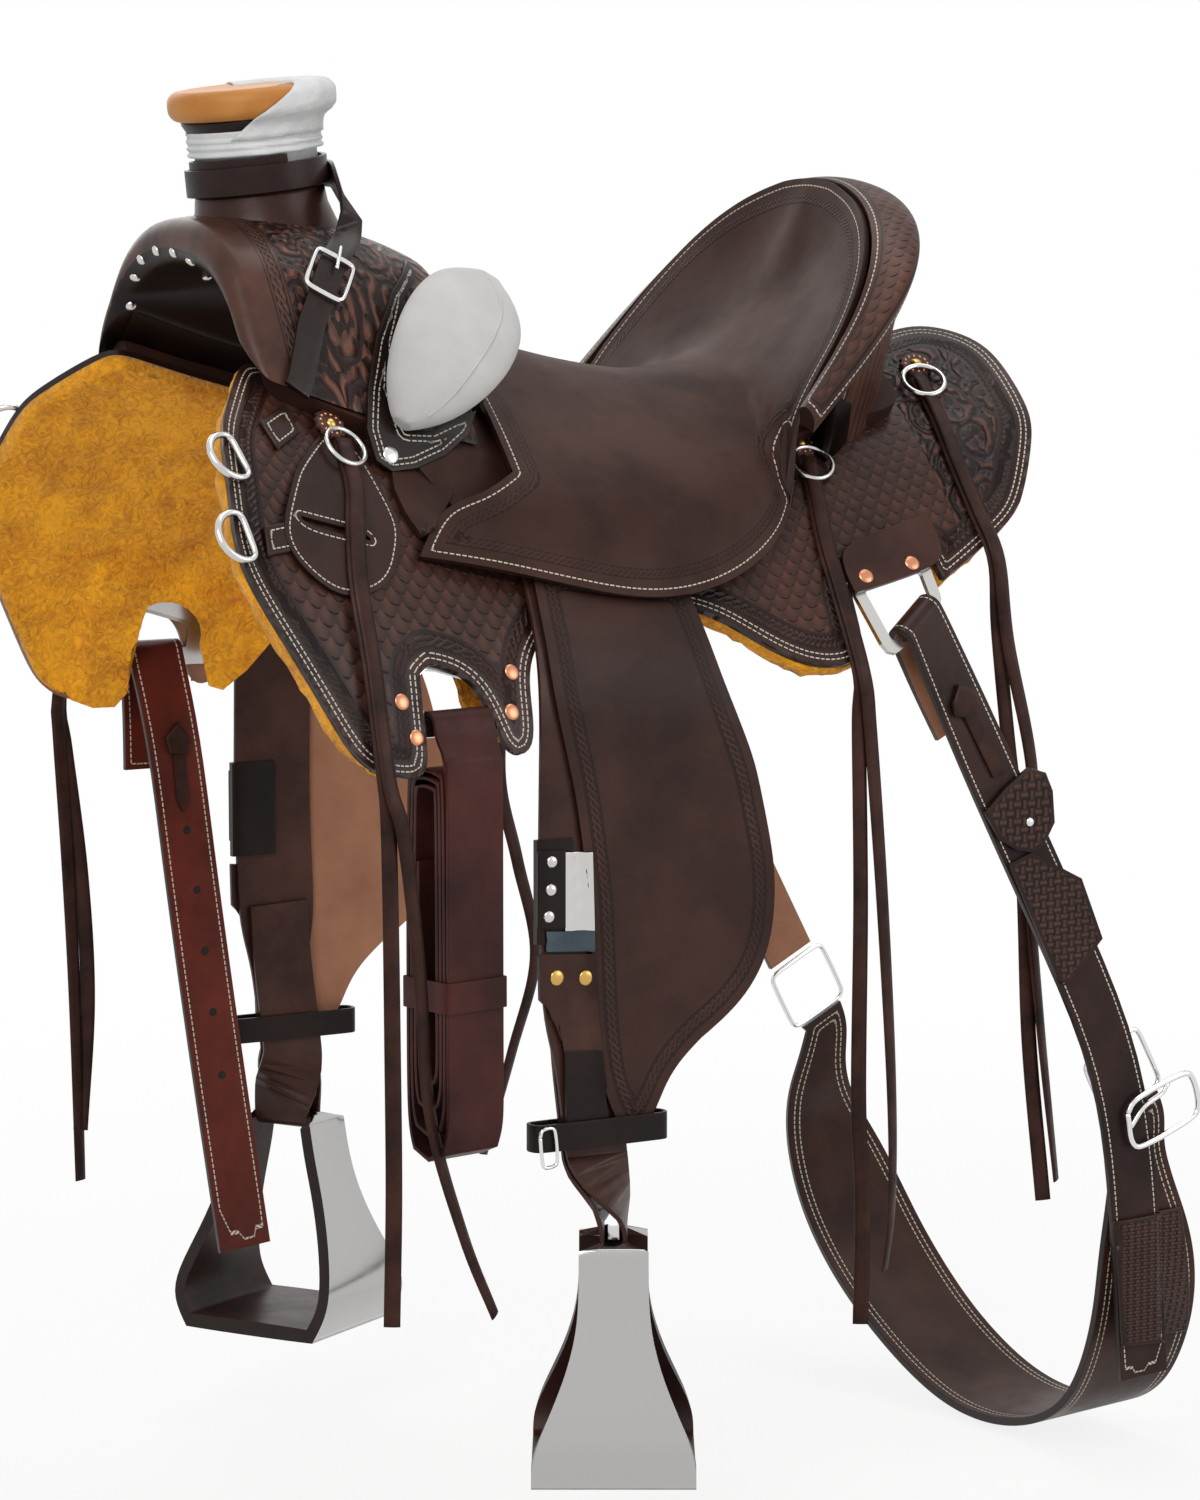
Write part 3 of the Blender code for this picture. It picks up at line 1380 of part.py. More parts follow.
def build_off_billet():
    """The off billet: a doubled strap looped over the off rigging plate."""
    bar, run = plate_bar(-1)
    loop = math.hypot(PLATE_BAR, PLATE) / 2 + LOOP_CLEAR * 1.8 + BILLET_THICK / 2
    inward = run.cross(Vector((0, 0, 1))).normalized()
    hang = Vector((0, 0.994, 0.109))
    path = [Vector(p) for p in reversed(OFF_BILLET_HANG)]
    across = [hang] * len(path)
    for degrees in range(0, 181, 30):
        angle = math.radians(degrees)
        path.append(bar + (inward * math.cos(angle) + Vector((0, 0, math.sin(angle)))) * loop)
        across.append(run)
    path += [bar - inward * (loop + 0.001) + Vector((0, 0.002, -z)) for z in (0.045, 0.09)]
    across += [hang] * 2
    strap("off_billet", path, across, BILLET_WIDTH, BILLET_THICK, RED, origin=bar)


DOWN_BACK = Vector((0, math.sin(FLANK_SWING), -math.cos(FLANK_SWING)))
FLANK_ACROSS = Vector((0, math.cos(FLANK_SWING), math.sin(FLANK_SWING)))
HANG_ACROSS = Vector((0, 1, 0.08)).normalized()
BUCKLE_REACH = 0.405
BUCKLE_HALF = 0.026
BUCKLE_WIRE = 0.005
BUCKLE_SEAT = 0.042
TIP_REACH = 0.240
FLANK_SLACK = 0.0022
FLANK_OUT = 0.0105
FLANK_PIVOT = dee_bar(1)[0]


def build_flank():
    """The flank set: two billets, two buckles and the wide cinch between them."""
    for side, tag in ((1, "near"), (-1, "off")):
        bar, run = dee_bar(side)
        out = Vector((side, 0, 0))
        half = BILLET_THICK / 2
        over = (out - run * run.dot(out)).normalized()
        low = (DOWN_BACK - run * run.dot(DOWN_BACK)).normalized()
        loop = math.hypot(DEE_BAR, DEE_PLATE) / 2 + LOOP_CLEAR * 3 + half
        base = bar + out * FLANK_OUT
        path = [base + DOWN_BACK * r for r in (BUCKLE_REACH - 0.03, 0.25, 0.10)]
        across = [FLANK_ACROSS] * 3
        if side > 0:
            buckle = base + DOWN_BACK * BUCKLE_REACH
            drop = HANG_ACROSS.cross(out).normalized()
            drop = drop if drop.z < 0 else -drop
            path = [buckle + drop * r for r in (TIP_REACH, TIP_REACH * 0.6, TIP_REACH * 0.25)] + path
            across = [HANG_ACROSS] * 3 + across
        for degrees in range(-10, 191, 25):
            angle = math.radians(degrees)
            path.append(bar + (over * math.cos(angle) - low * math.sin(angle)) * loop)
            across.append(run)
        path += [bar - out * (loop + 0.001 - r * 0.05) + DOWN_BACK * r for r in (0.045, 0.09)]
        across += [FLANK_ACROSS, FLANK_ACROSS]
        strap(f"flank_billet_{tag}", path, across, BILLET_WIDTH, BILLET_THICK, DARK, origin=FLANK_PIVOT)
        middle = base + DOWN_BACK * BUCKLE_REACH - out * (half + LOOP_CLEAR + BUCKLE_WIRE / 2)
        frame = oval_loop(middle, FLANK_ACROSS, DOWN_BACK, BILLET_WIDTH / 2 + 0.006, BUCKLE_HALF, 0.008)
        wire(f"flank_buckle_{tag}", frame, out, BUCKLE_WIRE, STEEL, origin=FLANK_PIVOT)
    build_flank_cinch()


CINCH_NEAR = [
    (0.003, 0.005, -0.047, 0.60),
    (0.003, 0.011, -0.097, 0.90),
    (0.007, 0.016, -0.152, 1.0),
    (0.028, 0.019, -0.207, 1.0),
    (0.068, 0.021, -0.252, 1.0),
    (0.143, 0.021, -0.277, 1.0),
]
CINCH_OFF = [
    (0.231, 0.015, -0.272, 1.0),
    (0.151, 0.005, -0.232, 1.0),
    (0.081, -0.001, -0.177, 1.0),
    (0.029, -0.002, -0.117, 0.95),
    (-0.001, -0.001, -0.067, 0.70),
]


def build_flank_cinch():
    """The flank cinch, a wide doubled strap under the belly."""
    offset = FLANK_OUT - BILLET_THICK / 2 - LOOP_CLEAR - BUCKLE_WIRE / 2
    ends = []
    for side in (1, -1):
        foot = BUCKLE_REACH + BUCKLE_HALF + BUCKLE_WIRE / 2 + GAP * 2
        ends.append(dee_bar(side)[0] + Vector((side * offset, 0, 0)) + DOWN_BACK * foot)
    near, off = ends
    knots = [near + DOWN_BACK * 0.014]
    knots += [near + Vector((-x, y, z)) for x, y, z, w in CINCH_NEAR]
    knots += [off + Vector((x, y, z)) for x, y, z, w in CINCH_OFF]
    knots += [off + DOWN_BACK * 0.014]
    path = [near] + spline(knots, 2) + [off]
    narrow = [BUCKLE_SEAT / CINCH_WIDTH] * 2
    wide = [CINCH_WIDTH * w for w in narrow + [knot[3] for knot in CINCH_NEAR + CINCH_OFF] + narrow]
    thick = [CINCH_THICK * 0.7] * 2 + [CINCH_THICK] * 11 + [CINCH_THICK * 0.7] * 2
    turns = [FLANK_ACROSS] * 2 + [HANG_ACROSS] * 8
    turns += [HANG_ACROSS.lerp(FLANK_ACROSS, t) for t in (0.3, 0.6, 0.9, 1, 1)]
    across = [along(turns, i / (len(path) - 1)) for i in range(len(path))]
    strap("flank_cinch", path, across, wide, thick, DARK, origin=FLANK_PIVOT)


RINGS = {
    "front": (-0.303, 0.128),
    "middle": (0.106, 0.092),
    "rear": (0.234, 0.040),
}
KEEPER_OUT = SKIRT_OUT + GAP + COVER_LEATHER
STRING_LIFT = GAP + STRING_THICK / 2


def string_base(name, side):
    """The height over the back that a string leaves its ring at."""
    return (KEEPER_OUT if name == "front" and side > 0 else SKIRT_OUT) + STRING_LIFT


def build_rings():
    """The six string rings and four breast collar dees."""
    for name in RINGS:
        for side, tag in ((1, "near"), (-1, "off")):
            y, s = RINGS[name]
            out = out_of_back(y, s, side)
            level = string_base(name, side) + STRING_THICK / 2 + GAP * 2 + RING_WIRE / 2
            if (name, side) not in STRING_LINES:
                level = SKIRT_OUT + GAP + RING_WIRE / 2
            middle = on_back(y, s, level, side)
            down = (Vector((0, 0, -1)) + out * out.z).normalized()
            beside = out.cross(down)
            steps = 20
            path = []
            for i in range(steps):
                angle = math.tau * i / steps
                path.append(middle + (down * math.cos(angle) + beside * math.sin(angle)) * RING_RADIUS)
            hinge = middle - down * RING_RADIUS
            wire(f"string_ring_{name}_{tag}", path, out, RING_WIRE, STEEL, origin=hinge)
    for name, y, s in (("upper", -0.398, 0.172), ("lower", -0.410, 0.238)):
        for side, tag in ((1, "near"), (-1, "off")):
            out = out_of_back(y, s, side)
            middle = on_back(y, s, SKIRT_OUT + GAP + BREAST_DEE_WIRE / 2 + 0.0004, side)
            down = (Vector((0, 0, -1)) + out * out.z).normalized()
            front = out.cross(down)
            front = -front if front.y > 0 else front
            size = BREAST_DEE_RADIUS
            path = [middle + down * size * c for c in (0.9, 0.3, -0.3, -0.9)]
            for degrees in range(-80, 81, 20):
                angle = math.radians(degrees)
                reach = front * (0.006 + size * 1.1 * math.cos(angle))
                path.append(middle + down * size * math.sin(angle) + reach)
            wire(f"breast_dee_{name}_{tag}", path, out, BREAST_DEE_WIRE, STEEL, origin=middle)


STRING_LINES = {
    ("front", 1): (
        [
            (-0.304, 0.121), (-0.308, 0.160), (-0.320, 0.200), (-0.330, 0.245),
            (-0.333, 0.300), (-0.334, 0.378),
        ],
        [
            (0.284, -0.333, -0.235), (0.285, -0.332, -0.300), (0.285, -0.331, -0.400),
            (0.284, -0.330, -0.500), (0.282, -0.331, -0.595),
        ],
    ),
    ("middle", 1): (
        [(0.104, 0.086), (0.096, 0.120), (0.087, 0.160), (0.084, 0.200), (0.083, 0.264)],
        [
            (0.238, 0.083, -0.200), (0.242, 0.083, -0.330), (0.244, 0.081, -0.480),
            (0.246, 0.084, -0.560), (0.247, 0.082, -0.650),
        ],
    ),
    ("rear", 1): (
        [(0.232, 0.033), (0.228, 0.075), (0.223, 0.120), (0.222, 0.165), (0.223, 0.204)],
        [
            (0.203, 0.230, -0.140), (0.200, 0.243, -0.230), (0.199, 0.258, -0.330),
            (0.198, 0.266, -0.460), (0.199, 0.280, -0.586),
        ],
    ),
    ("front", -1): (
        [
            (-0.304, 0.121), (-0.308, 0.160), (-0.320, 0.200), (-0.328, 0.245),
            (-0.330, 0.300), (-0.330, 0.378),
        ],
        [(0.281, -0.328, -0.235), (0.281, -0.322, -0.340), (0.280, -0.318, -0.450), (0.278, -0.316, -0.595)],
    ),
    ("middle", -1): (
        [(0.104, 0.086), (0.094, 0.120), (0.080, 0.160), (0.068, 0.200), (0.058, 0.264)],
        [
            (0.236, 0.048, -0.200), (0.236, 0.042, -0.290), (0.236, 0.058, -0.360),
            (0.236, 0.075, -0.440), (0.240, 0.055, -0.520), (0.244, 0.030, -0.604),
        ],
    ),
}


def build_strings():
    """The saddle strings, each one long lace that hangs from inside its ring."""
    for (name, side), (laid, free) in STRING_LINES.items():
        tag = "near" if side > 0 else "off"
        level = string_base(name, side) + 0.0004
        stops = [s for y, s in laid[:1]] + cut_lines([s for y, s in laid], FACET_S) + [laid[-1][1]]
        path, across = [], []
        for s in stops:
            y = on_line([(s, y) for y, s in laid], s)
            path.append(on_back(y, s, level, side))
            ahead, behind = (on_back(y + d, s, level, side) for d in (0.02, -0.02))
            across.append((ahead - behind).normalized())
        path += [flip(Vector(p), side) for p in free]
        across += [Vector((0, 1, 0))] * len(free)
        strap(f"string_{name}_{tag}", path, across, STRING_WIDTH, STRING_THICK, RED)


def build_keeper():
    """The near cinch keeper, a teardrop of leather with a slot."""
    outline = rounded(
        [
            (-0.312, 0.112, 0.012),
            (-0.352, 0.162, 0.05),
            (-0.388, 0.235, 0.04),
            (-0.345, 0.262, 0.05),
            (-0.297, 0.232, 0.03),
            (-0.274, 0.182, 0.03),
            (-0.289, 0.112, 0.012),
        ]
    )
    slot = rounded([
        (-0.362, 0.203, 0.003), (-0.306, 0.196, 0.003),
        (-0.305, 0.202, 0.003), (-0.361, 0.209, 0.003),
    ])
    layer("cinch_keeper", outline, SKIRT_OUT + GAP, KEEPER_OUT, 1, DARK, holes=(slot,))


build_skirts()
build_rigging()
build_bars()
fork_tree = build_fork()
build_horn(fork_tree)
build_rope_strap(fork_tree)
build_seat()
build_cantle()
for sign, word in ((1, "near"), (-1, "off")):
    build_fender(sign, word)
    build_leather(sign, word)
    build_stirrup(sign, word)
build_rolls(fork_tree)
build_latigo()
build_off_billet()
build_flank()
build_rings()
build_strings()
build_keeper()
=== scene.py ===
"""The looks of a hand tooled wade saddle: leather, stitching, fleece, metal and laces."""

import json
import math

import bmesh
import bpy
import numpy as np
from mathutils import Matrix, Vector, noise
from mathutils.bvhtree import BVHTree
from mathutils.kdtree import KDTree

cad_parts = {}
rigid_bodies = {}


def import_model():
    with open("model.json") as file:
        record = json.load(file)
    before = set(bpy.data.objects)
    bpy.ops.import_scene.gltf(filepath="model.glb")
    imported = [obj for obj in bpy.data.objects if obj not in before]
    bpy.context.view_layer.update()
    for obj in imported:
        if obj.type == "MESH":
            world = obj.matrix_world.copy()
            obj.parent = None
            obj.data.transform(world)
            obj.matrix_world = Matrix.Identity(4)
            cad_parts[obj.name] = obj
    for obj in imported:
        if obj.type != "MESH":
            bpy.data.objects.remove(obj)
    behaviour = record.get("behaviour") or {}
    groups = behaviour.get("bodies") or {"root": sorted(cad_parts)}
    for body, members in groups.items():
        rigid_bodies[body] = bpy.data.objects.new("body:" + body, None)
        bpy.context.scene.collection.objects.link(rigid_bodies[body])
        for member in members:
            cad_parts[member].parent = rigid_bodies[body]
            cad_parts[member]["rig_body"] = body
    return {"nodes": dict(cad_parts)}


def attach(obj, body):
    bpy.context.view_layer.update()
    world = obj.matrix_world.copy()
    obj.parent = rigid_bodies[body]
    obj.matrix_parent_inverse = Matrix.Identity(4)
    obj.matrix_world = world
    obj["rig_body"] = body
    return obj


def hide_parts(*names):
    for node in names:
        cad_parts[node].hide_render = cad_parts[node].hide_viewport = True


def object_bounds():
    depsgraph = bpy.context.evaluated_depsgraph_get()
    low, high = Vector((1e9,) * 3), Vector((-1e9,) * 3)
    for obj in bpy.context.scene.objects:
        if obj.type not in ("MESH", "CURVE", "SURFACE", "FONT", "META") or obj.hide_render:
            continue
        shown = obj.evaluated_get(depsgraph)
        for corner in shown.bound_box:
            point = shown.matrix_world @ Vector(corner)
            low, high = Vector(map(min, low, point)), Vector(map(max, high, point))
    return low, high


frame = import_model()
cad_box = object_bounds()
nodes = frame["nodes"]

# The near side is the horse's left, at +X
SIDES = {"near": 1, "off": -1}
OTHER_BODY = {"saddle": "saddle", "hanging_near": "hanging_off"}

# Sizes from the part's source, in metres
STRING_WIDTH = 0.012
STRING_THICK = 0.0024
KEEPER_OUT = 0.0243
SKIRT_OUT = 0.0200
BACK_RADIUS = 0.469
BACK_START = math.radians(32)
BACK_EDGE = 0.045
BACK_TOP = 0.020
BACK_LOWEST = 0.02
BACK_SWAY = 0.54
HORN_BASE = Vector((0, -0.286, 0.1755))
HORN_LEAN = math.radians(6)

# How far below the frame's origin the horse's middle lies
HORSE_MIDDLE = 0.4
NUDGE = 0.002


def over_back(y, s, n, side=1):
    """The point s metres down the side of the back, and n metres out from it."""
    a = BACK_START + s / BACK_RADIUS
    x = BACK_EDGE + BACK_RADIUS * (math.sin(a) - math.sin(BACK_START)) + n * math.sin(a)
    z = BACK_TOP + BACK_SWAY * (y - BACK_LOWEST) ** 2 + n * math.cos(a)
    z -= BACK_RADIUS * (math.cos(BACK_START) - math.cos(a))
    return Vector((side * x, y, z))


def out_of_back(y, s, side=1):
    """The direction straight out of the back at one place."""
    down = over_back(y, s + NUDGE, 0, side) - over_back(y, s - NUDGE, 0, side)
    fore = over_back(y + NUDGE, s, 0, side) - over_back(y - NUDGE, s, 0, side)
    return (side * down.cross(fore)).normalized()


def linear(hexcode):
    """A screen colour as the linear colour a shader takes."""
    parts = [int(hexcode[i : i + 2], 16) / 255 for i in (0, 2, 4)]
    return (*[c / 12.92 if c <= 0.04045 else ((c + 0.055) / 1.055) ** 2.4 for c in parts], 1)


def add(made, kind, inputs=None, **settings):
    """A shader node with its settings and links. A node as an input gives its first output."""
    node = made.node_tree.nodes.new("ShaderNode" + kind)
    for name, value in settings.items():
        setattr(node, name, value)
    if isinstance(inputs, list):
        pairs = list(zip([socket for socket in node.inputs if socket.enabled], inputs))
    else:
        pairs = [(node.inputs[name], value) for name, value in (inputs or {}).items()]
    for socket, value in pairs:
        if isinstance(value, bpy.types.Node):
            value = next(out for out in value.outputs if out.enabled)
        if isinstance(value, bpy.types.NodeSocket):
            made.node_tree.links.new(value, socket)
        else:
            socket.default_value = value
    return node


def blank(name, rough, **values):
    """A material with its plain shader values set."""
    made = bpy.data.materials.new(name)
    made.use_nodes = True
    shader = made.node_tree.nodes["Principled BSDF"]
    plain = {"Base Color": linear("808080"), "IOR": 1.5, "Coat Roughness": 0.25, "Roughness": rough}
    for socket, value in {**plain, **values}.items():
        shader.inputs[socket.replace("_", " ")].default_value = value
    return made, shader


# Camera and light

PHOTO_WIDTH = 1200
PHOTO_HEIGHT = 1500
AIM = Vector((0, 0, -0.24))
TURN = math.radians(60)
RISE = math.radians(7.3)
DISTANCE = 4.0
camera = bpy.data.objects.new("camera", bpy.data.cameras.new("camera"))
bpy.context.scene.collection.objects.link(camera)
away = Vector((math.sin(TURN) * math.cos(RISE), -math.cos(TURN) * math.cos(RISE), math.sin(RISE)))
camera.location = AIM + away * DISTANCE
camera.rotation_euler = (-away).to_track_quat("-Z", "Y").to_euler()
camera.data.lens = 124.7
camera.data.sensor_width = 36
bpy.context.scene.camera = camera
bpy.context.scene.view_settings.view_transform = "Standard"

# Soft square lamps that face the saddle: place, size and power
LAMPS = {
    "key_lamp": ((1.9, -2.3, 1.9), 1.6, 54),
    "fill_lamp": ((2.6, 1.9, 0.9), 1.8, 29),
    "top_lamp": ((-0.3, 0.5, 2.6), 1.8, 24),
    "back_lamp": ((-2.4, 0.2, 1.0), 1.6, 12),
}
for name, (place, size, power) in LAMPS.items():
    lamp = bpy.data.objects.new(name, bpy.data.lights.new(name, "AREA"))
    lamp.data.shape = "SQUARE"
    lamp.data.size = size
    lamp.data.energy = power
    lamp.location = place
    lamp.rotation_euler = (AIM - Vector(place)).to_track_quat("-Z", "Y").to_euler()
    bpy.context.scene.collection.objects.link(lamp)


def looked_at(made):
    """One where the camera, a mirror or glass looks at it, and nothing for the light it gives."""
    paths = add(made, "LightPath").outputs
    seen = add(made, "Math", [paths["Is Camera Ray"], paths["Is Glossy Ray"]], operation="MAXIMUM")
    return add(made, "Math", [seen, paths["Is Transmission Ray"]], operation="MAXIMUM")


# The room is white to look at and dim as a light
ROOM_LIGHT = 0.28
world = bpy.data.worlds.new("studio")
bpy.context.scene.world = world
world.use_nodes = True
bright = add(
    world, "Math", [looked_at(world), 1 - ROOM_LIGHT, ROOM_LIGHT], operation="MULTIPLY_ADD"
)
backdrop = world.node_tree.nodes["Background"]
backdrop.inputs["Color"].default_value = (1, 1, 1, 1)
world.node_tree.links.new(bright.outputs[0], backdrop.inputs["Strength"])

# White paper sweep: matt, a faint shadow under the saddle that fades into the white around it
FLOOR_GAP = 0.004
FLOOR_HALF = 9
FADE_START = 0.75
FADE_END = 2.2
NEAR_GLOW = 0.84
paper, paper_shader = blank("white_paper_sweep", 0.7, Base_Color=linear("f4f4f2"))
glow = add(paper, "Emission", {"Color": (1, 1, 1, 1), "Strength": 1.0})
spot = add(paper, "VectorMath", [add(paper, "TexCoord").outputs["Object"]], operation="LENGTH")
share = add(paper, "MapRange", {
    "Value": spot.outputs["Value"], "From Min": FADE_START, "From Max": FADE_END,
    "To Min": NEAR_GLOW, "To Max": 1.0,
})
share = add(paper, "Math", [share, looked_at(paper)], operation="MULTIPLY")
joined = add(paper, "MixShader", {0: share, 1: paper_shader, 2: glow})
paper.node_tree.links.new(joined.outputs[0], paper.node_tree.nodes["Material Output"].inputs[0])
sweep = bmesh.new()
bmesh.ops.create_grid(sweep, x_segments=1, y_segments=1, size=FLOOR_HALF)
bmesh.ops.translate(sweep, verts=sweep.verts, vec=(0, 0, cad_box[0][2] - FLOOR_GAP))
floor = bpy.data.objects.new("floor", bpy.data.meshes.new("floor"))
sweep.to_mesh(floor.data)
bpy.context.scene.collection.objects.link(floor)
floor.data.materials.append(paper)


# Patterns cut into leather, as shader nodes

# Stitches, in metres, and the share of each that shows as thread
STITCH_PITCH = 0.0046
THREAD_WIDTH = 0.00105
THREAD_SHARE = 0.72
# A plaited strand: how far it swings across the band, how steep its sides are, how high it rises
STRAND_SWING = 0.30
STRAND_SLOPE = 4.6
STRAND_RISE = 0.25
# A fish scale's height and radius as shares of its width, and the shade on the one below it
SCALE_HEIGHT = 0.5
SCALE_RADIUS = 0.6
SCALE_UNDER = 0.3
SCALE_RIM = 5.0
# Flowers and leaves: how far they stray from a plain grid, and sizes as shares of a flower's cell
FLOWER_STRAY = 0.6
LEAF_STRAY = 0.8
PETALS = 5
PETAL_NEAR = 0.15
PETAL_REACH = 0.12
PETAL_CURVE = 1.6
HEART = 0.055
SCROLL_PITCH = 0.30
SCROLL_GAIN = 1.25
LEAVES = 4.4
LEAF_GAIN = 1.7
WARP_SCALE = 0.9
WARP = 0.45
# A distance in from the rim that no piece reaches
EVERYWHERE = 9.0


def stitches(made, run, inset, at, pitch):
    """One row of thread: 1 on the thread, 0 off it."""
    row = add(made, "Math", [inset, at, THREAD_WIDTH / 2], operation="COMPARE")
    turn = add(made, "Math", [run, 1 / pitch], operation="MULTIPLY")
    turn = add(made, "Math", [turn], operation="FRACT")
    dash = add(made, "Math", [turn, THREAD_SHARE], operation="LESS_THAN")
    return add(made, "Math", [row, dash], operation="MULTIPLY")


def band(made, inset, low, high):
    """1 between two distances from the edge, 0 elsewhere."""
    return add(made, "Math", [inset, (low + high) / 2, (high - low) / 2], operation="COMPARE")


def braid(made, run, inset, low, high, pitch):
    """Three plaited strands between two distances from the edge, as a height of 0 to 1."""
    best = 0.0
    turn = add(made, "Math", [run, math.tau / pitch], operation="MULTIPLY")
    across = add(made, "Math", [inset, low], operation="SUBTRACT")
    across = add(made, "Math", [across, 1 / (high - low)], operation="MULTIPLY")
    for strand in range(3):
        phase = add(made, "Math", [turn, strand * math.tau / 3], operation="ADD")
        sway = add(made, "Math", [phase], operation="SINE")
        middle = add(made, "Math", [sway, STRAND_SWING, 0.5], operation="MULTIPLY_ADD")
        gap = add(made, "Math", [across, middle], operation="SUBTRACT")
        gap = add(made, "Math", [gap], operation="ABSOLUTE")
        body = add(made, "Math", [gap, -STRAND_SLOPE, 1.0], operation="MULTIPLY_ADD", use_clamp=True)
        body = add(made, "Math", [body, 0.5], operation="POWER")
        rise = add(made, "Math", [phase], operation="COSINE")
        rise = add(made, "Math", [rise, STRAND_RISE, 1 - STRAND_RISE], operation="MULTIPLY_ADD")
        body = add(made, "Math", [body, rise], operation="MULTIPLY")
        best = add(made, "Math", [body, best], operation="MAXIMUM")
    return add(made, "Math", [best, band(made, inset, low, high)], operation="MULTIPLY")


def scales(made, wide):
    """Overlapping fish scales over the flat of a piece, as a height of 0 to 1."""
    high = wide * SCALE_HEIGHT
    radius = wide * SCALE_RADIUS
    split = add(made, "SeparateXYZ", [add(made, "UVMap", uv_map="flat")])
    row = add(made, "Math", [split.outputs[1], 1 / high], operation="MULTIPLY")
    line = add(made, "Math", [row], operation="FLOOR")
    down = add(made, "Math", [row], operation="FRACT")
    down = add(made, "Math", [down, high], operation="MULTIPLY")
    lap = add(made, "Math", [down, high], operation="ADD")
    shift = add(made, "Math", [line, 0.5], operation="MULTIPLY")
    turn = add(made, "Math", [split.outputs[0], 1 / wide, shift], operation="MULTIPLY_ADD")
    parts = []
    for offset, drop in ((0.5, lap), (0.0, down)):
        side = add(made, "Math", [turn, offset], operation="ADD")
        side = add(made, "Math", [side], operation="FRACT")
        side = add(made, "Math", [side, wide, -wide / 2], operation="MULTIPLY_ADD")
        far = add(made, "VectorMath", [add(made, "CombineXYZ", {0: side, 1: drop})], operation="LENGTH")
        reach = add(made, "Math", [far.outputs["Value"], 1 / radius], operation="MULTIPLY")
        inside = add(made, "Math", [reach, 1.0], operation="LESS_THAN")
        parts.append((add(made, "Math", [reach, inside], operation="MULTIPLY"), inside))
    (top, on_upper), (base, on_lower) = parts
    kept = add(made, "Math", [1.0, on_upper], operation="SUBTRACT")
    base = add(made, "Math", [base, kept], operation="MULTIPLY")
    base = add(made, "Math", [base, SCALE_UNDER], operation="MULTIPLY")
    rim = add(made, "Math", [top, SCALE_RIM], operation="POWER")
    rim = add(made, "Math", [rim, base], operation="MAXIMUM")
    return add(made, "Math", [1.0, rim], operation="SUBTRACT")


def carving(made, size):
    """Flowers with scrolls and leaves turning round them, as a height of 0 to 1."""
    place = add(made, "UVMap", uv_map="flat")
    warp = add(made, "TexNoise", {"Vector": place, "Scale": WARP_SCALE / size, "Detail": 1.0})
    bend = add(made, "VectorMath", [warp.outputs["Color"], (0.5, 0.5, 0.5)], operation="SUBTRACT")
    bend = add(made, "VectorMath", {0: bend, "Scale": size * WARP}, operation="SCALE")
    place = add(made, "VectorMath", [place, bend], operation="ADD")
    cells, leaf = [
        add(made, "TexVoronoi", {"Vector": place, "Scale": scale, "Randomness": stray},
            voronoi_dimensions="2D")
        for scale, stray in ((1 / size, FLOWER_STRAY), (LEAVES / size, LEAF_STRAY))
    ]
    offset = add(made, "VectorMath", [place, cells.outputs["Position"]], operation="SUBTRACT")
    split = add(made, "SeparateXYZ", [offset])
    angle = add(made, "Math", [split.outputs[1], split.outputs[0]], operation="ARCTAN2")
    far = add(made, "VectorMath", [offset], operation="LENGTH").outputs["Value"]
    petals = add(made, "Math", [angle, PETALS / 2], operation="MULTIPLY")
    petals = add(made, "Math", [petals], operation="COSINE")
    petals = add(made, "Math", [petals], operation="ABSOLUTE")
    limit = [petals, size * PETAL_REACH, size * PETAL_NEAR]
    limit = add(made, "Math", limit, operation="MULTIPLY_ADD")
    reach = add(made, "Math", [far, limit], operation="DIVIDE")
    flower = add(made, "Math", [reach, 1.0], operation="LESS_THAN")
    rise = add(made, "Math", [reach, PETAL_CURVE], operation="POWER")
    rise = add(made, "Math", [rise, petals], operation="MULTIPLY")
    rise = add(made, "Math", [rise, flower], operation="MULTIPLY")
    heart = add(made, "Math", [far, size * HEART], operation="LESS_THAN")
    rise = add(made, "Math", [rise, heart], operation="MAXIMUM")
    turn = add(made, "Math", [far, math.tau / (size * SCROLL_PITCH), angle], operation="MULTIPLY_ADD")
    scroll = add(made, "Math", [turn], operation="SINE")
    scroll = add(made, "Math", [scroll, 0.5, 0.5], operation="MULTIPLY_ADD")
    lobes = add(made, "Math", [leaf, LEAF_GAIN], operation="MULTIPLY", use_clamp=True)
    scroll = add(made, "Math", [scroll, lobes], operation="MULTIPLY")
    scroll = add(made, "Math", [scroll, SCROLL_GAIN], operation="MULTIPLY", use_clamp=True)
    other = add(made, "Math", [1.0, flower], operation="SUBTRACT")
    scroll = add(made, "Math", [scroll, other], operation="MULTIPLY")
    return add(made, "Math", [rise, scroll], operation="MAXIMUM")


def basket(made, size):
    """Stamped basket weave, as a height of 0 to 1."""
    place = add(made, "UVMap", uv_map="flat")
    split = add(made, "SeparateXYZ", [place])
    check = add(made, "TexChecker", {"Vector": place, "Scale": 1 / size})
    waves = []
    for axis in (0, 1):
        turn = add(made, "Math", [split.outputs[axis], math.pi / size], operation="MULTIPLY")
        turn = add(made, "Math", [turn], operation="SINE")
        waves.append(add(made, "Math", [turn], operation="ABSOLUTE"))
    return add(made, "Mix", [check.outputs["Fac"], *waves], data_type="FLOAT")


def shade(made, tone, where, share, hexcode):
    """Lays a share of a colour over a tone, where a mask says: the painted shade in grooves and low
    parts.
    """
    where = add(made, "Math", [where, share], operation="MULTIPLY")
    return add(made, "Mix", [where, tone, linear(hexcode)], data_type="RGBA")


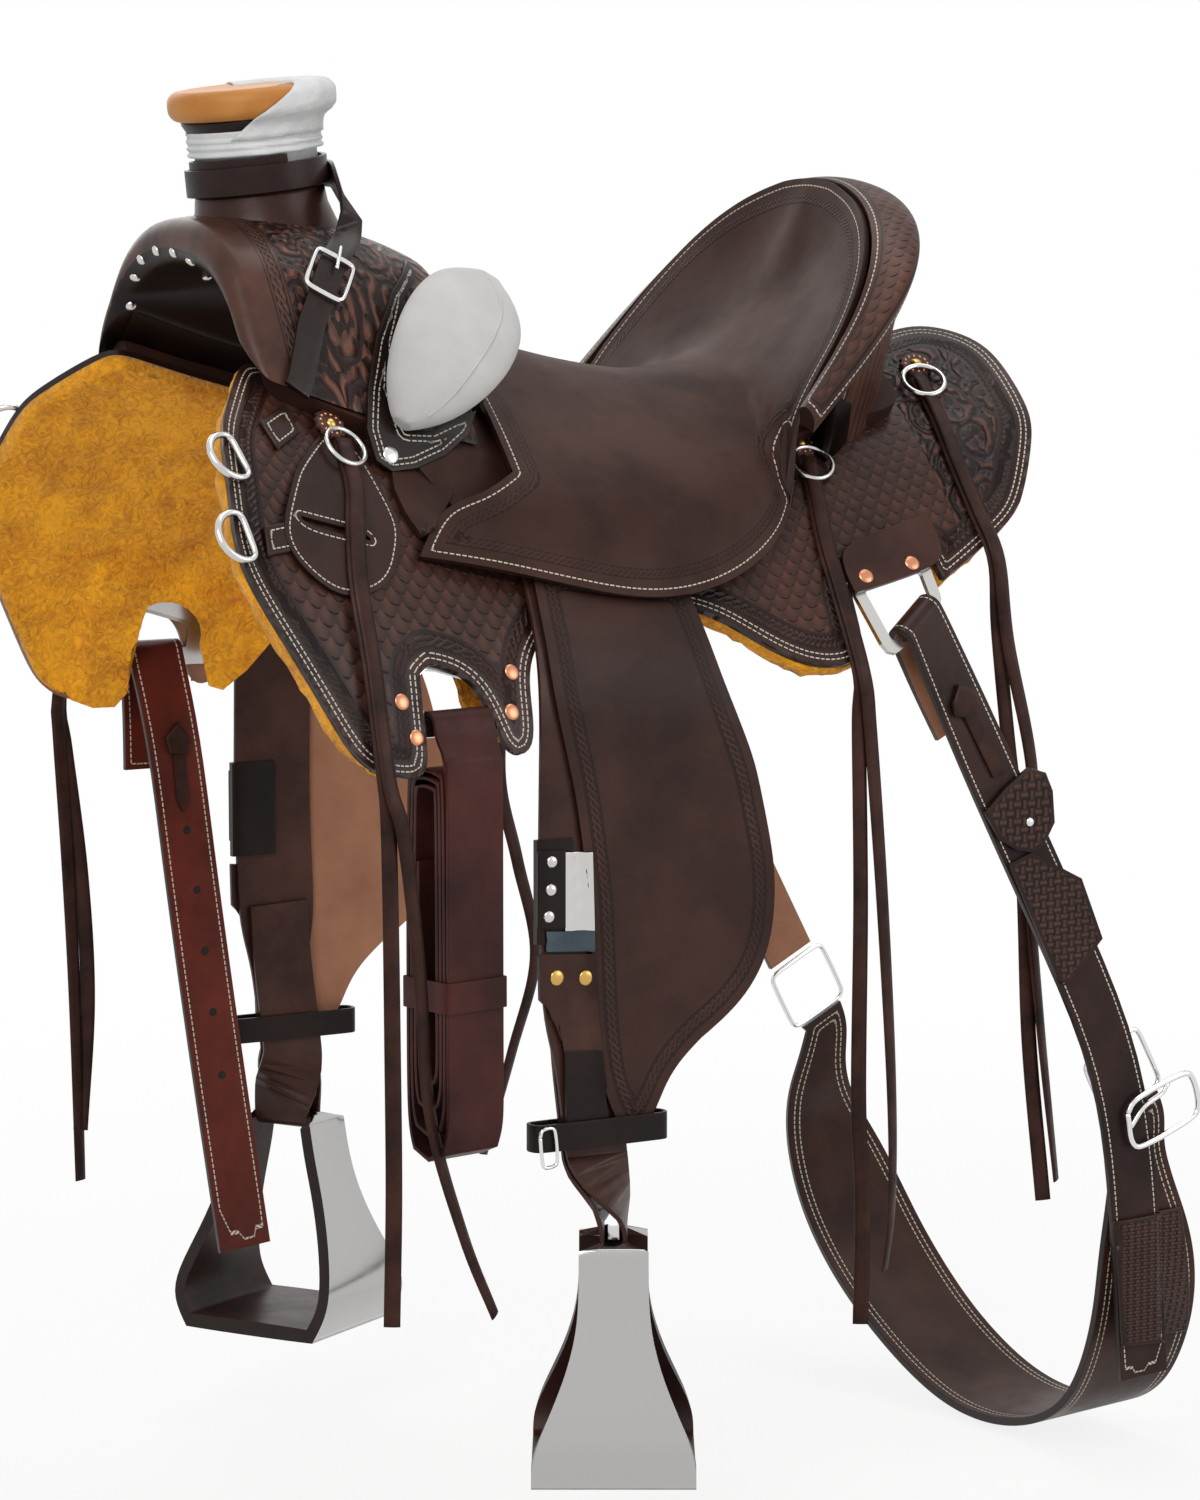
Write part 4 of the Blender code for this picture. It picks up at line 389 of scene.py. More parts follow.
def press(made, tone, height, cut, inside, relief, depth, hexcode, share):
    """Presses a cut pattern into the surface and paints shade on its lowest parts."""
    height = add(made, "Math", [cut, relief, height], operation="MULTIPLY_ADD")
    low = add(made, "Math", [cut, depth], operation="LESS_THAN")
    low = add(made, "Math", [low, inside], operation="MULTIPLY")
    return shade(made, tone, low, share, hexcode), height


def feed(made, shader, tone, height, strength, distance):
    """Gives a shader its colour and its relief."""
    bump = add(made, "Bump", {"Strength": strength, "Distance": distance, "Height": height})
    made.node_tree.links.new(tone.outputs[2], shader.inputs["Base Color"])
    made.node_tree.links.new(bump.outputs[0], shader.inputs["Normal"])


THREAD = linear("cdc5b6")
# Painted shade for the grooves and the low parts of cut patterns
GROOVE_PAINTED_SHADE = "0e0605"
FIELD_PAINTED_SHADE = "120807"
WORN_AND_HIGHLIT_TOP = "8a5a49"
# Painted shade: how dark the low parts of a field, of a braid and of a groove are, and below what height
# they count as low
FIELD_SHADE = 0.85
BRAID_SHADE = 0.75
GROOVE_SHADE = 0.7
FIELD_DEPTH = 0.42
BRAID_DEPTH = 0.45
GROOVE_WIDTH = 0.0006
CHANNEL_WIDTH = 0.0011
# Cells in a metre. Pores of 1.6 mm and creases of 4 mm are coarser than real ones, so that they show
PORES = 620.0
CREASES = 240.0
FLOWER_SIZE = 0.034


def leather(name, light, dark, rough=0.42, coat=0.25, rows=(), lines=(), bands=(), field=None,
            field_from=0.0, relief=0.55, mottle=14.0, pitch=STITCH_PITCH, corner=None, wear_and_highlight=0.24):
    """Vegetable tanned leather, dyed and oiled, with what is cut and sewn into it, painted shade in its
    cuts, and high parts lightened by wear and a painted highlight.
    """
    made, shader = blank(name, rough, Coat_Weight=coat * 0.2, Specular_IOR_Level=0.15)
    rim = add(made, "SeparateXYZ", [add(made, "UVMap", uv_map="rim")])
    run, inset = rim.outputs[0], rim.outputs[1]
    place = add(made, "TexCoord").outputs["Object"]
    cloud = add(made, "TexNoise", {"Vector": place, "Scale": mottle, "Detail": 5.0, "Roughness": 0.62})
    cloud = add(made, "MapRange", {"Value": cloud, "From Min": 0.36, "From Max": 0.66})
    tone = add(made, "Mix", [cloud, linear(dark), linear(light)], data_type="RGBA")
    pores = add(made, "TexVoronoi", {"Vector": place, "Scale": PORES})
    grain = add(made, "TexNoise", {"Vector": place, "Scale": CREASES, "Detail": 3.0})
    height = add(made, "Math", [pores, 0.05], operation="MULTIPLY")
    height = add(made, "Math", [grain, 0.07, height], operation="MULTIPLY_ADD")
    if field:
        pattern, size = field
        cut = pattern(made, size)
        if corner:
            along = add(made, "SeparateXYZ", [add(made, "UVMap", uv_map="flat")])
            rear = add(made, "Math", [along.outputs[0], corner], operation="GREATER_THAN")
            cut = add(made, "Mix", [rear, cut, carving(made, FLOWER_SIZE)], data_type="FLOAT")
        inside = band(made, inset, field_from, EVERYWHERE)
        cut = add(made, "Math", [cut, inside], operation="MULTIPLY")
        pressed = (FIELD_DEPTH, FIELD_PAINTED_SHADE, FIELD_SHADE)
        tone, height = press(made, tone, height, cut, inside, relief, *pressed)
        # The high parts of a cut pattern are lightened: partly wear, partly a painted highlight
        worn_and_highlit = add(made, "MapRange", {"Value": cut, "From Min": 0.72, "From Max": 1.0, "To Max": wear_and_highlight})
        tone = add(made, "Mix", [worn_and_highlit, tone, linear(WORN_AND_HIGHLIT_TOP)], data_type="RGBA")
    for low, high, step in bands:
        cut = braid(made, run, inset, low, high, step)
        inside = band(made, inset, low, high)
        pressed = (BRAID_DEPTH, GROOVE_PAINTED_SHADE, BRAID_SHADE)
        tone, height = press(made, tone, height, cut, inside, relief, *pressed)
    # Groove lines, darkened with painted shade
    for at in lines:
        groove = add(made, "Math", [inset, at, GROOVE_WIDTH], operation="COMPARE")
        height = add(made, "Math", [groove, -0.5, height], operation="MULTIPLY_ADD")
        tone = shade(made, tone, groove, GROOVE_SHADE, GROOVE_PAINTED_SHADE)
    for at in rows:
        sewn = stitches(made, run, inset, at, pitch)
        channel = add(made, "Math", [inset, at, CHANNEL_WIDTH], operation="COMPARE")
        height = add(made, "Math", [channel, -0.35, height], operation="MULTIPLY_ADD")
        height = add(made, "Math", [sewn, 0.6, height], operation="MULTIPLY_ADD")
        tone = add(made, "Mix", [sewn, tone, THREAD], data_type="RGBA")
    feed(made, shader, tone, height, 1.0, 0.001)
    shine = add(made, "MapRange", {"Value": cloud, "To Min": rough + 0.08, "To Max": rough - 0.06})
    made.node_tree.links.new(shine.outputs[0], shader.inputs["Roughness"])
    return made


def mottled(name, rough, tones, cloud, strength, distance, nap=None, **values):
    """A surface clouded with two tones, whose relief is its nap or else the cloud itself.

    A cloud is its patches in a metre and its detail. A nap of 1 mm is coarser than a real one, to show.
    """
    made, shader = blank(name, rough, **values)
    place = add(made, "TexCoord").outputs["Object"]
    patches = add(made, "TexNoise", {"Vector": place, "Scale": cloud[0], "Detail": cloud[1]})
    tone = add(made, "Mix", [patches, *map(linear, tones)], data_type="RGBA")
    relief = add(made, nap[0], {"Vector": place, **nap[1]}) if nap else patches
    feed(made, shader, tone, relief, strength, distance)
    return made


def metal(name, hexcode, rough, scratch=0.05, stretch=(1, 1, 1)):
    """Worked metal with rub marks 14 mm long, which break up what it mirrors."""
    made, shader = blank(name, rough, Metallic=1.0, Base_Color=linear(hexcode))
    place = add(made, "TexCoord").outputs["Object"]
    place = add(made, "Mapping", {"Vector": place, "Scale": stretch})
    rub = add(made, "TexNoise", {"Vector": place, "Scale": 70.0, "Detail": 4.0})
    spread = add(made, "MapRange", {"Value": rub, "To Min": rough - scratch, "To Max": rough + scratch})
    bump = add(made, "Bump", {"Strength": 0.05, "Distance": 0.0002, "Height": rub})
    made.node_tree.links.new(spread.outputs[0], shader.inputs["Roughness"])
    made.node_tree.links.new(bump.outputs[0], shader.inputs["Normal"])
    return made


def burnished(name, hexcode, rough=0.35):
    """A cut edge, dyed and rubbed smooth, clouded with a second, darker tone."""
    tones = (hexcode, "2a1a14")
    return mottled(name, rough, tones, (130.0, 3.0), 0.4, 0.0004, Specular_IOR_Level=0.25)


# Materials

# Skirting leather, carved wet with rows of fish scales: deep brown, its grooves painted nearly black as
# shade, its scale tops lightened by wear and a painted highlight
skirt_leather = leather(
    "tooled_skirt_leather", "40261f", "1f100d", rough=0.34, coat=0.4, relief=1.8,
    rows=(0.0045, 0.0085), lines=(0.0115, 0.0245), bands=((0.0125, 0.0235, 0.018),),
    field=(scales, 0.0135), field_from=0.026, corner=0.205,
)
# The same leather carved with flowers, its high parts lightened red-brown, partly rubbed by hands and
# partly a painted highlight
fork_leather = leather(
    "carved_fork_leather", "5c3d32", "35201a", rough=0.34, coat=0.35, relief=1.9, wear_and_highlight=0.42,
    lines=(0.034, 0.047), bands=((0.036, 0.045, 0.016),), field=(carving, 0.036), field_from=0.048,
)
# Seat leather, glazed once and worn matt, in broad soft clouds
SEAT_TONES = ("40271f", "291713")
seat_leather = leather(
    "glazed_seat_leather", *SEAT_TONES, rough=0.56, coat=0.0, relief=0.6, mottle=9.0,
    rows=(0.0058,), bands=((0.0130, 0.0210, 0.016),),
)
seat_plain = leather("seat_front_leather", *SEAT_TONES, rough=0.56, coat=0.0, mottle=9.0)
# Lighter leather stamped with small scales, sewn once along its edge
scale_leather = leather(
    "scaled_cantle_leather", "55372d", "301b16", relief=0.8,
    rows=(0.0045,), lines=(0.008,), field=(scales, 0.0125), field_from=0.010,
)
# Glazed leather with no tooling: an even shine with a soft edge
plain_leather = leather("glazed_brown_leather", "4b2e25", "2e1813", rough=0.34, coat=0.45)
# Oiled fender leather: broad clouds, less shine, one plaited border
fender_leather = leather(
    "oiled_fender_leather", "432a23", "2a1814", coat=0.22, relief=0.9, mottle=8.0,
    lines=(0.0080, 0.0185), bands=((0.0090, 0.0175, 0.018),),
)
# Strap leathers, sewn near their edges with pale thread that reads as a dotted line
keeper_leather = leather(
    "sewn_keeper_leather", "3a231d", "22120e", rough=0.36, rows=(0.0042,), coat=0.35,
)
cinch_leather = leather(
    "double_sewn_cinch_leather", "43291f", "291512", rows=(0.006, 0.0105), coat=0.2,
)
billet_leather = leather(
    "sewn_billet_leather", "38221d", "1f100e", rows=(0.0042,), coat=0.3, pitch=0.0042,
)
red_strap_leather = leather(
    "red_brown_strap_leather", "66271c", "471a12", rough=0.40, rows=(0.0045,), coat=0.3,
)
roll_base_leather = leather(
    "glazed_roll_base_leather", "251613", "120a08", rough=0.30, coat=0.5, rows=(0.0045, 0.0085),
)
# Latigo: oil tanned, wine red, waxy and nearly matt
burgundy_leather = leather(
    "oil_tanned_burgundy_latigo", "4b231e", "2c1311", rough=0.48, coat=0.12, mottle=11.0,
)
# Thin dark straps and linings, nearly black, with a tight low shine
dark_leather = leather("black_brown_leather", "221410", "0f0806", rough=0.36, coat=0.3)
rope_leather = leather("rope_strap_leather", "301d19", "190d0b", rough=0.4, coat=0.3)
tread_leather = leather("stirrup_tread_leather", "3a1f1a", "1f100d", rough=0.4, coat=0.3)
# Lace leather: oil tanned, soft, streaked light and dark in short lengths
lace_leather = leather("oil_tanned_lace", "3f231b", "20100c", rough=0.5, coat=0.1, mottle=30.0)
rosette_leather = leather("rosette_leather", "5d4038", "3b241f", rough=0.45, coat=0.2)
# Leather stamped with a basket weave 6.5 mm wide, its crowns lightened by wear and a painted highlight,
# its hollows darkened with painted shade
basket_leather = leather(
    "basket_stamped_leather", "3a231d", "22130f", rough=0.36, coat=0.3, relief=1.2,
    field=(basket, 0.0065), field_from=0.003,
)
# Woven webbing in slate blue: flat and matt
slate_band = leather("slate_blue_webbing", "56636c", "434e55", rough=0.7, coat=0.0)

# Cut edges, dyed and burnished: a dark line with a dull shine round every piece
black_edge = burnished("black_burnished_edge", "140e0c")
brown_edge = burnished("brown_burnished_edge", "2b1712")
# Punched holes are flat discs of painted shade, for the dark seen into a hole
hole_painted_shade = burnished("punched_hole_painted_shade", "0a0605", 0.6)
# The flesh side of leather is not glazed: pale tan, matt and slightly fibrous
flesh = mottled(
    "flesh_side_tan_leather", 0.78, ("7d4c33", "b98565"), (22.0, 6.0), 0.6, 0.0004,
    ("TexNoise", {"Scale": 900.0, "Detail": 2.0}), Sheen_Weight=0.2,
)
# Drum dyed suede: very matt, pale grey, with a nap that lies in patches
suede = mottled(
    "pale_grey_suede", 0.92, ("b6b4b2", "dad8d6"), (26.0, 7.0), 0.5, 0.0003,
    ("TexNoise", {"Scale": 1100.0, "Detail": 2.0}), Sheen_Weight=0.35,
)
# Mule hide: chrome tanned, chalk white, creased where it is wound
hide = mottled(
    "white_mule_hide", 0.62, ("c3c6c9", "e9e9e6"), (60.0, 6.0), 0.4, 0.0005,
    ("TexVoronoi", {"Scale": 420.0}),
)
# Rawhide on the horn cap: honey tan, polished by hands and rope
cap = mottled(
    "honey_tan_horn_cap", 0.5, ("a9672b", "d08f44"), (38.0, 6.0), 0.4, 0.0006,
    Coat_Weight=0.04, Specular_IOR_Level=0.3,
)

# Wool fleece: golden, deep and curly, with light painted on its locks and brown shade painted between
# them.
# Locks of 8 mm lie in patches of 38 mm
wool, wool_shader = blank("golden_wool_fleece", 0.95, Sheen_Weight=0.15)
place = add(wool, "TexCoord").outputs["Object"]
patches = add(wool, "TexNoise", {"Vector": place, "Scale": 26.0, "Detail": 3.0})
curl = add(wool, "TexNoise", {"Vector": place, "Scale": 120.0, "Detail": 6.0, "Distortion": 2.2})
lock_tone_and_painted_shade = add(wool, "Math", [patches, 0.9, curl], operation="MULTIPLY_ADD")
lock_tone_and_painted_shade = add(wool, "MapRange", {"Value": lock_tone_and_painted_shade, "From Min": 0.55, "From Max": 1.15})
# Dark brown to gold: the wool's own tone, and painted light and shade on its locks
tone = add(wool, "Mix", [lock_tone_and_painted_shade, linear("ad5e00"), linear("ffb118")], data_type="RGBA")
feed(wool, wool_shader, tone, curl, 0.9, 0.003)

# Stainless steel, brushed along its wires and polished on the stirrups: long or sharp highlights
satin_steel = metal("brushed_stainless_steel", "c9c7c4", 0.22, stretch=(1, 1, 9))
mirror_steel = metal("polished_stainless_steel", "b2b1af", 0.12, 0.04)
# Chromed steel: the whitest and sharpest of the metals
chrome = metal("chromed_steel", "dcdcdb", 0.14)
# Hammered copper and cast brass: warm, with a broad soft glint
copper = metal("hammered_copper", "c98a6a", 0.3)
brass = metal("cast_brass", "c9a25c", 0.3)


# From the CAD solids to finished pieces

GRAIN, FLESH, EDGE = 0, 1, 2
# Edges cover less than this share of a piece
EDGE_SHARE = 0.14
MERGE = 0.00002
SAMPLE_STEP = 0.0015
SIDE_LEAN = 0.2
SHARP = 40
# An angle for the edges of a sheet, which have one face only
OPEN_EDGE = 9
FLAT_ANGLE = 0.2
PULL = 0.6
SWEPT_ROUNDING = 0.0006
FLAT_ROUNDING = 0.0009
# A flat map is never wrapped tighter than this radius
LEAST_WRAP = 0.3
# How a piece with no rim is mapped: how far along, how far in, and how long its rim is
NO_RIM = (0.0, 1.0, 1.0)


def add_piece(name, bm, materials, body, stands_for=(), even=False):
    """A finished piece in the scene that rides on a body."""
    mesh = bpy.data.meshes.new(name)
    bm.to_mesh(mesh)
    bm.free()
    mesh.validate()
    made = bpy.data.objects.new(name, mesh)
    bpy.context.scene.collection.objects.link(made)
    regions = np.zeros(len(mesh.polygons), dtype=np.int32)
    mesh.polygons.foreach_get("material_index", regions)
    for material in materials:
        mesh.materials.append(material)
    mesh.polygons.foreach_set("material_index", np.minimum(regions, len(materials) - 1))
    mesh.polygons.foreach_set("use_smooth", [True] * len(mesh.polygons))
    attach(made, body)
    if stands_for:
        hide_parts(*stands_for)
    if even:
        made.modifiers.new("even_shading", "WEIGHTED_NORMAL").mode = "FACE_AREA"
    return made


def stand_in(node, ending, bm, materials, even=False):
    """A finished piece that takes the place of its node."""
    return add_piece(node + ending, bm, materials, nodes[node]["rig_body"], (node,), even)


def outward(place):
    """Roughly away from the horse at a place."""
    side = 1 if place.x >= 0 else -1
    return Vector((place.x + side * SIDE_LEAN, 0, place.z + HORSE_MIDDLE)).normalized()


def one_region(bm):
    """Gives every face the first material."""
    for face in bm.faces:
        face.material_index = GRAIN
    return bm


def mark_regions(bm, sharp):
    """Gives every smooth region of faces its own number."""
    one_region(bm)
    number = 0
    for start in bm.faces:
        if start.material_index:
            continue
        number += 1
        start.material_index = number
        stack = [start]
        while stack:
            for edge in stack.pop().edges:
                if len(edge.link_faces) != 2 or edge.calc_face_angle(0) > math.radians(sharp):
                    continue
                for other in edge.link_faces:
                    if not other.material_index:
                        other.material_index = number
                        stack.append(other)


def name_regions(bm):
    """Turns region numbers into the grain side, the flesh side and the edges."""
    area, facing = {}, {}
    for face in bm.faces:
        number, size = face.material_index, face.calc_area()
        area[number] = area.get(number, 0) + size
        lean = face.normal.dot(outward(face.calc_center_median())) * size
        facing[number] = facing.get(number, 0) + lean
    least = sum(area.values()) * EDGE_SHARE
    for face in bm.faces:
        number = face.material_index
        side = GRAIN if facing[number] > 0 else FLESH
        face.material_index = EDGE if area[number] < least else side


def rim_edges(bm):
    """The edges where one region meets another."""
    pairs = [(edge, edge.link_faces) for edge in bm.edges if len(edge.link_faces) == 2]
    return [edge for edge, (a, b) in pairs if a.material_index != b.material_index]


def split_long(bm, spacing):
    """Splits edges until none is much longer than the spacing."""
    for turn in range(9):
        long = [edge for edge in bm.edges if edge.calc_length() > spacing * 1.4]
        if not long:
            break
        bmesh.ops.subdivide_edges(bm, edges=long, cuts=1)
        bmesh.ops.triangulate(bm, faces=[face for face in bm.faces if len(face.verts) > 3])
    flat = [edge for edge in bm.edges if edge.calc_face_angle(OPEN_EDGE) < FLAT_ANGLE]
    bmesh.ops.beautify_fill(bm, faces=bm.faces, edges=flat)


def relax(bm, turns, pinned_angle=38):
    """Smooths each region inside its rim, and each rim along itself."""
    bm.verts.index_update()
    count = len(bm.verts)
    place = np.array([v.co for v in bm.verts])
    rims = set(rim_edges(bm))
    on_rim = np.zeros(count, int)
    for edge in rims:
        for vert in edge.verts:
            on_rim[vert.index] += 1
    pairs = []
    for edge in bm.edges:
        a, b = edge.verts[0].index, edge.verts[1].index
        wanted = 2 if edge in rims else 0
        pairs += [pair for pair in ((a, b), (b, a)) if on_rim[pair[0]] == wanted]
    pairs = np.array(pairs)
    held = on_rim > 2
    for vert in bm.verts:
        if on_rim[vert.index] == 2:
            ends = [e.other_vert(vert).co - vert.co for e in vert.link_edges if e in rims]
            if ends[0].angle(-ends[1], 0) > math.radians(pinned_angle):
                held[vert.index] = True
    neighbours = np.bincount(pairs[:, 0], minlength=count)
    moves = (neighbours > 0) & ~held
    for turn in range(turns):
        ends = place[pairs[:, 1]]
        sums = [np.bincount(pairs[:, 0], ends[:, axis], minlength=count) for axis in range(3)]
        mean = np.stack(sums, axis=1) / np.maximum(neighbours, 1)[:, None]
        place = np.where(moves[:, None], place * (1 - PULL) + mean * PULL, place)
    for vert in bm.verts:
        vert.co = place[vert.index]


def rim_samples(rims, around):
    """Points along every rim, each with how far along it lies and how long the rim is."""
    left = dict.fromkeys(rims)
    samples = []
    while left:
        edge = left.popitem()[0]
        vert = edge.verts[1]
        chain = [edge.verts[0].co.copy(), vert.co.copy()]
        while following := [e for e in around[vert] if e in left]:
            del left[following[0]]
            vert = following[0].other_vert(vert)
            chain.append(vert.co.copy())
        gone = 0.0
        loop = []
        for a, b in zip(chain, chain[1:]):
            far = (b - a).length
            steps = max(1, math.ceil(far / SAMPLE_STEP))
            loop += [(a.lerp(b, k / steps), gone + far * k / steps) for k in range(steps)]
            gone += far
        samples += [(place, run, gone) for place, run in loop]
    return samples


def lay_maps(bm):
    """Maps for the patterns: along and in from the rim, and flat over the piece, in metres."""
    rim_map = bm.loops.layers.uv.new("rim")
    flat_map = bm.loops.layers.uv.new("flat")
    rims = rim_edges(bm)
    around = {}
    for edge in rims:
        for vert in edge.verts:
            around.setdefault(vert, []).append(edge)
    samples = rim_samples(rims, around)
    tree = KDTree(len(samples))
    for index, sample in enumerate(samples):
        tree.insert(sample[0], index)
    tree.balance()
    bm.verts.index_update()
    found = [NO_RIM] * len(bm.verts)
    for vert in bm.verts if samples else []:
        place, index, far = tree.find(vert.co)
        found[vert.index] = (samples[index][1], 0.0 if vert in around else far, samples[index][2])
    for face in bm.faces:
        first = found[face.verts[0].index]
        for loop in face.loops:
            run, far, length = found[loop.vert.index]
            if run - first[0] > length / 2:
                run -= length
            if first[0] - run > length / 2:
                run += length
            loop[rim_map].uv = (run, far)
            spot = loop.vert.co
            side = math.hypot(spot.x, spot.z + HORSE_MIDDLE)
            turn = math.atan2(spot.x, spot.z + HORSE_MIDDLE)
            loop[flat_map].uv = (spot.y, turn * max(side, LEAST_WRAP))


def round_rims(bm, size):
    """Rounds the edges where regions meet."""
    bmesh.ops.bevel(
        bm, geom=rim_edges(bm), offset=size, offset_type="OFFSET", segments=2, profile=0.5,
        affect="EDGES", material=-1, clamp_overlap=True,
    )


def merged(node):
    """A copy of a node's mesh with its loose triangles merged."""
    bm = bmesh.new()
    bm.from_mesh(nodes[node].data)
    bmesh.ops.remove_doubles(bm, verts=bm.verts, dist=MERGE)
    return bm


def evened(node, spacing, turns):
    """A broad piece with its facets relaxed into an even curve."""
    bm = merged(node)
    mark_regions(bm, SHARP)
    split_long(bm, spacing)
    relax(bm, turns)
    return bm


def smoothed(node, levels, sharp=SHARP, crease=1.0):
    """A node turned back into the four sided faces it was drawn with, then subdivided."""
    bm = merged(node)
    bmesh.ops.join_triangles(
        bm, faces=bm.faces, angle_face_threshold=math.radians(sharp),
        angle_shape_threshold=math.radians(60),
    )
    mark_regions(bm, sharp)
    layer = bm.edges.layers.float.new("crease_edge")
    for edge in rim_edges(bm):
        edge[layer] = crease
    mesh = bpy.data.meshes.new("cage")
    bm.to_mesh(mesh)
    bm.free()
    for number in range(max(p.material_index for p in mesh.polygons) + 1):
        mesh.materials.append(None)
    holder = bpy.data.objects.new("cage", mesh)
    bpy.context.scene.collection.objects.link(holder)
    subdivision = holder.modifiers.new("smooth", "SUBSURF")
    subdivision.levels = subdivision.render_levels = levels
    bpy.context.view_layer.update()
    graph = bpy.context.evaluated_depsgraph_get()
    result = bpy.data.meshes.new_from_object(holder.evaluated_get(graph))
    bpy.data.objects.remove(holder)
    out = bmesh.new()
    out.from_mesh(result)
    return out


def finish_piece(bm, node, materials, rounding, custom=None):
    """Names the regions, lays the maps, rounds the rims and puts the piece in the scene."""
    name_regions(bm)
    lay_maps(bm)
    if custom:
        custom(bm)
    round_rims(bm, rounding)
    bmesh.ops.recalc_face_normals(bm, faces=bm.faces)
    return stand_in(node, "_leather", bm, materials, even=True)


def swept_leather(node, materials, levels=2, custom=None):
    """A leather piece smoothed from its cage."""
    finish_piece(smoothed(node, levels), node, materials, SWEPT_ROUNDING, custom)


def flat_leather(node, materials, spacing=0.007):
    """A broad leather piece."""
    finish_piece(evened(node, spacing, 14), node, materials, FLAT_ROUNDING)


def round_metal(node, material, sharp=180, swell=0.0):
    """A wire or cast fitting smoothed from its cage, and thickened a little where it lies on leather."""
    bm = one_region(smoothed(node, 2, sharp))
    bmesh.ops.recalc_face_normals(bm, faces=bm.faces)
    made = stand_in(node, "_metal", bm, [material])
    for vert in made.data.vertices if swell else []:
        vert.co = vert.co + Vector(vert.normal) * swell


BURGUNDY = [burgundy_leather] * 3
DARK = [dark_leather, dark_leather, black_edge]
RING_SWELL = 0.0005
for tag in SIDES:
    flat_leather("skirt_" + tag, [skirt_leather, flesh, black_edge])
    flat_leather("rear_flap_" + tag, [plain_leather, flesh, black_edge], 0.005)
    flat_leather("fender_" + tag, [fender_leather, flesh, black_edge])
    swept_leather("stirrup_leather_" + tag, [plain_leather] * 3)
    swept_leather("buckle_cover_" + tag, DARK)
    swept_leather("hobble_strap_" + tag, DARK)
    swept_leather("flank_billet_" + tag, [billet_leather, flesh, black_edge])
    round_metal("flank_buckle_" + tag, chrome)
    for name in ("front", "middle", "rear"):
        round_metal(f"string_ring_{name}_{tag}", satin_steel, swell=RING_SWELL)
    for name in ("upper", "lower"):
        round_metal(f"breast_dee_{name}_{tag}", satin_steel, swell=RING_SWELL)
flat_leather("cinch_keeper", [keeper_leather, flesh, black_edge], 0.004)
swept_leather("latigo", BURGUNDY)
swept_leather("latigo_keeper", BURGUNDY)
swept_leather("off_billet", [red_strap_leather, red_strap_leather, black_edge])
swept_leather("flank_cinch", [cinch_leather, cinch_leather, black_edge], 3)
swept_leather("seat", [seat_leather, dark_leather, brown_edge], 3)

GULLET_FRONT = 0.366
FORK_UNDERSIDE = -0.25


def from_the_gullet(bm):
    """The fork's patterns follow its front edge, not its cut edges."""
    rim_map, flat_map = bm.loops.layers.uv["rim"], bm.loops.layers.uv["flat"]
    for face in bm.faces:
        lean = face.normal.dot(outward(face.calc_center_median()))
        face.material_index = GRAIN if lean > FORK_UNDERSIDE else FLESH
        for loop in face.loops:
            loop[rim_map].uv = (loop[flat_map].uv[1], loop[flat_map].uv[0] + GULLET_FRONT)


swept_leather("fork_cover", [fork_leather, dark_leather, brown_edge], custom=from_the_gullet)
swept_leather("cantle_binding", [scale_leather, dark_leather, brown_edge], 3)
swept_leather("cantle_back", [scale_leather, scale_leather, brown_edge])
swept_leather("rope_strap", [rope_leather, rope_leather, black_edge])

# Padding: the size of its curls and how far they stand
BIG_CURL = 48
SMALL_CURL = 130
CURL_HEIGHT = 0.004
CURL_SINK = 0.0004
for tag in SIDES:
    bm = evened("fleece_" + tag, 0.006, 12)
    name_regions(bm)
    bm.normal_update()
    inner = [v for v in bm.verts if all(f.material_index for f in v.link_faces)]
    moves = []
    for vert in inner:
        curl = noise.noise(vert.co * BIG_CURL) * 0.7 + noise.noise(vert.co * SMALL_CURL) * 0.5
        moves.append((vert, vert.normal * (curl * CURL_HEIGHT - CURL_SINK)))
    for vert, move in moves:
        vert.co += move
    stand_in("fleece_" + tag, "_wool", one_region(bm), [wool])
    roll = "bucking_roll_" + tag
    stand_in(roll, "_pad", one_region(smoothed(roll, 3, 60, 0.25)), [suede])


# The horn: a tan cap, a wound hide wrap that rises over one side of it, and a leather collar

HORN_AXIS = Vector((0, -math.sin(HORN_LEAN), math.cos(HORN_LEAN)))
HORN_TURN = Vector((0, 0, 1)).rotation_difference(HORN_AXIS).to_matrix()
HORN_BACK = HORN_TURN.inverted()


def turned(profile, steps=96, start=0.0, angle=math.tau):
    """A profile of (radius, height) spun about the horn."""
    bm = bmesh.new()
    spin = Matrix.Rotation(start, 3, HORN_AXIS)
    line = [bm.verts.new(HORN_BASE + spin @ HORN_TURN @ Vector((r, 0, h))) for r, h in profile]
    edges = [bm.edges.new(pair) for pair in zip(line, line[1:])]
    bmesh.ops.spin(
        bm, geom=line + edges, cent=HORN_BASE, axis=HORN_AXIS, angle=angle, steps=steps,
        use_merge=angle == math.tau,
    )
    bmesh.ops.remove_doubles(bm, verts=bm.verts, dist=MERGE / 2)
    bmesh.ops.recalc_face_normals(bm, faces=bm.faces)
    return bm


def arc(middle, radius, low, high, steps):
    """Points on a circle in a profile, between two angles in degrees."""
    angles = [math.radians(low + (high - low) * k / steps) for k in range(steps + 1)]
    return [(middle[0] + radius * math.cos(a), middle[1] + radius * math.sin(a)) for a in angles]


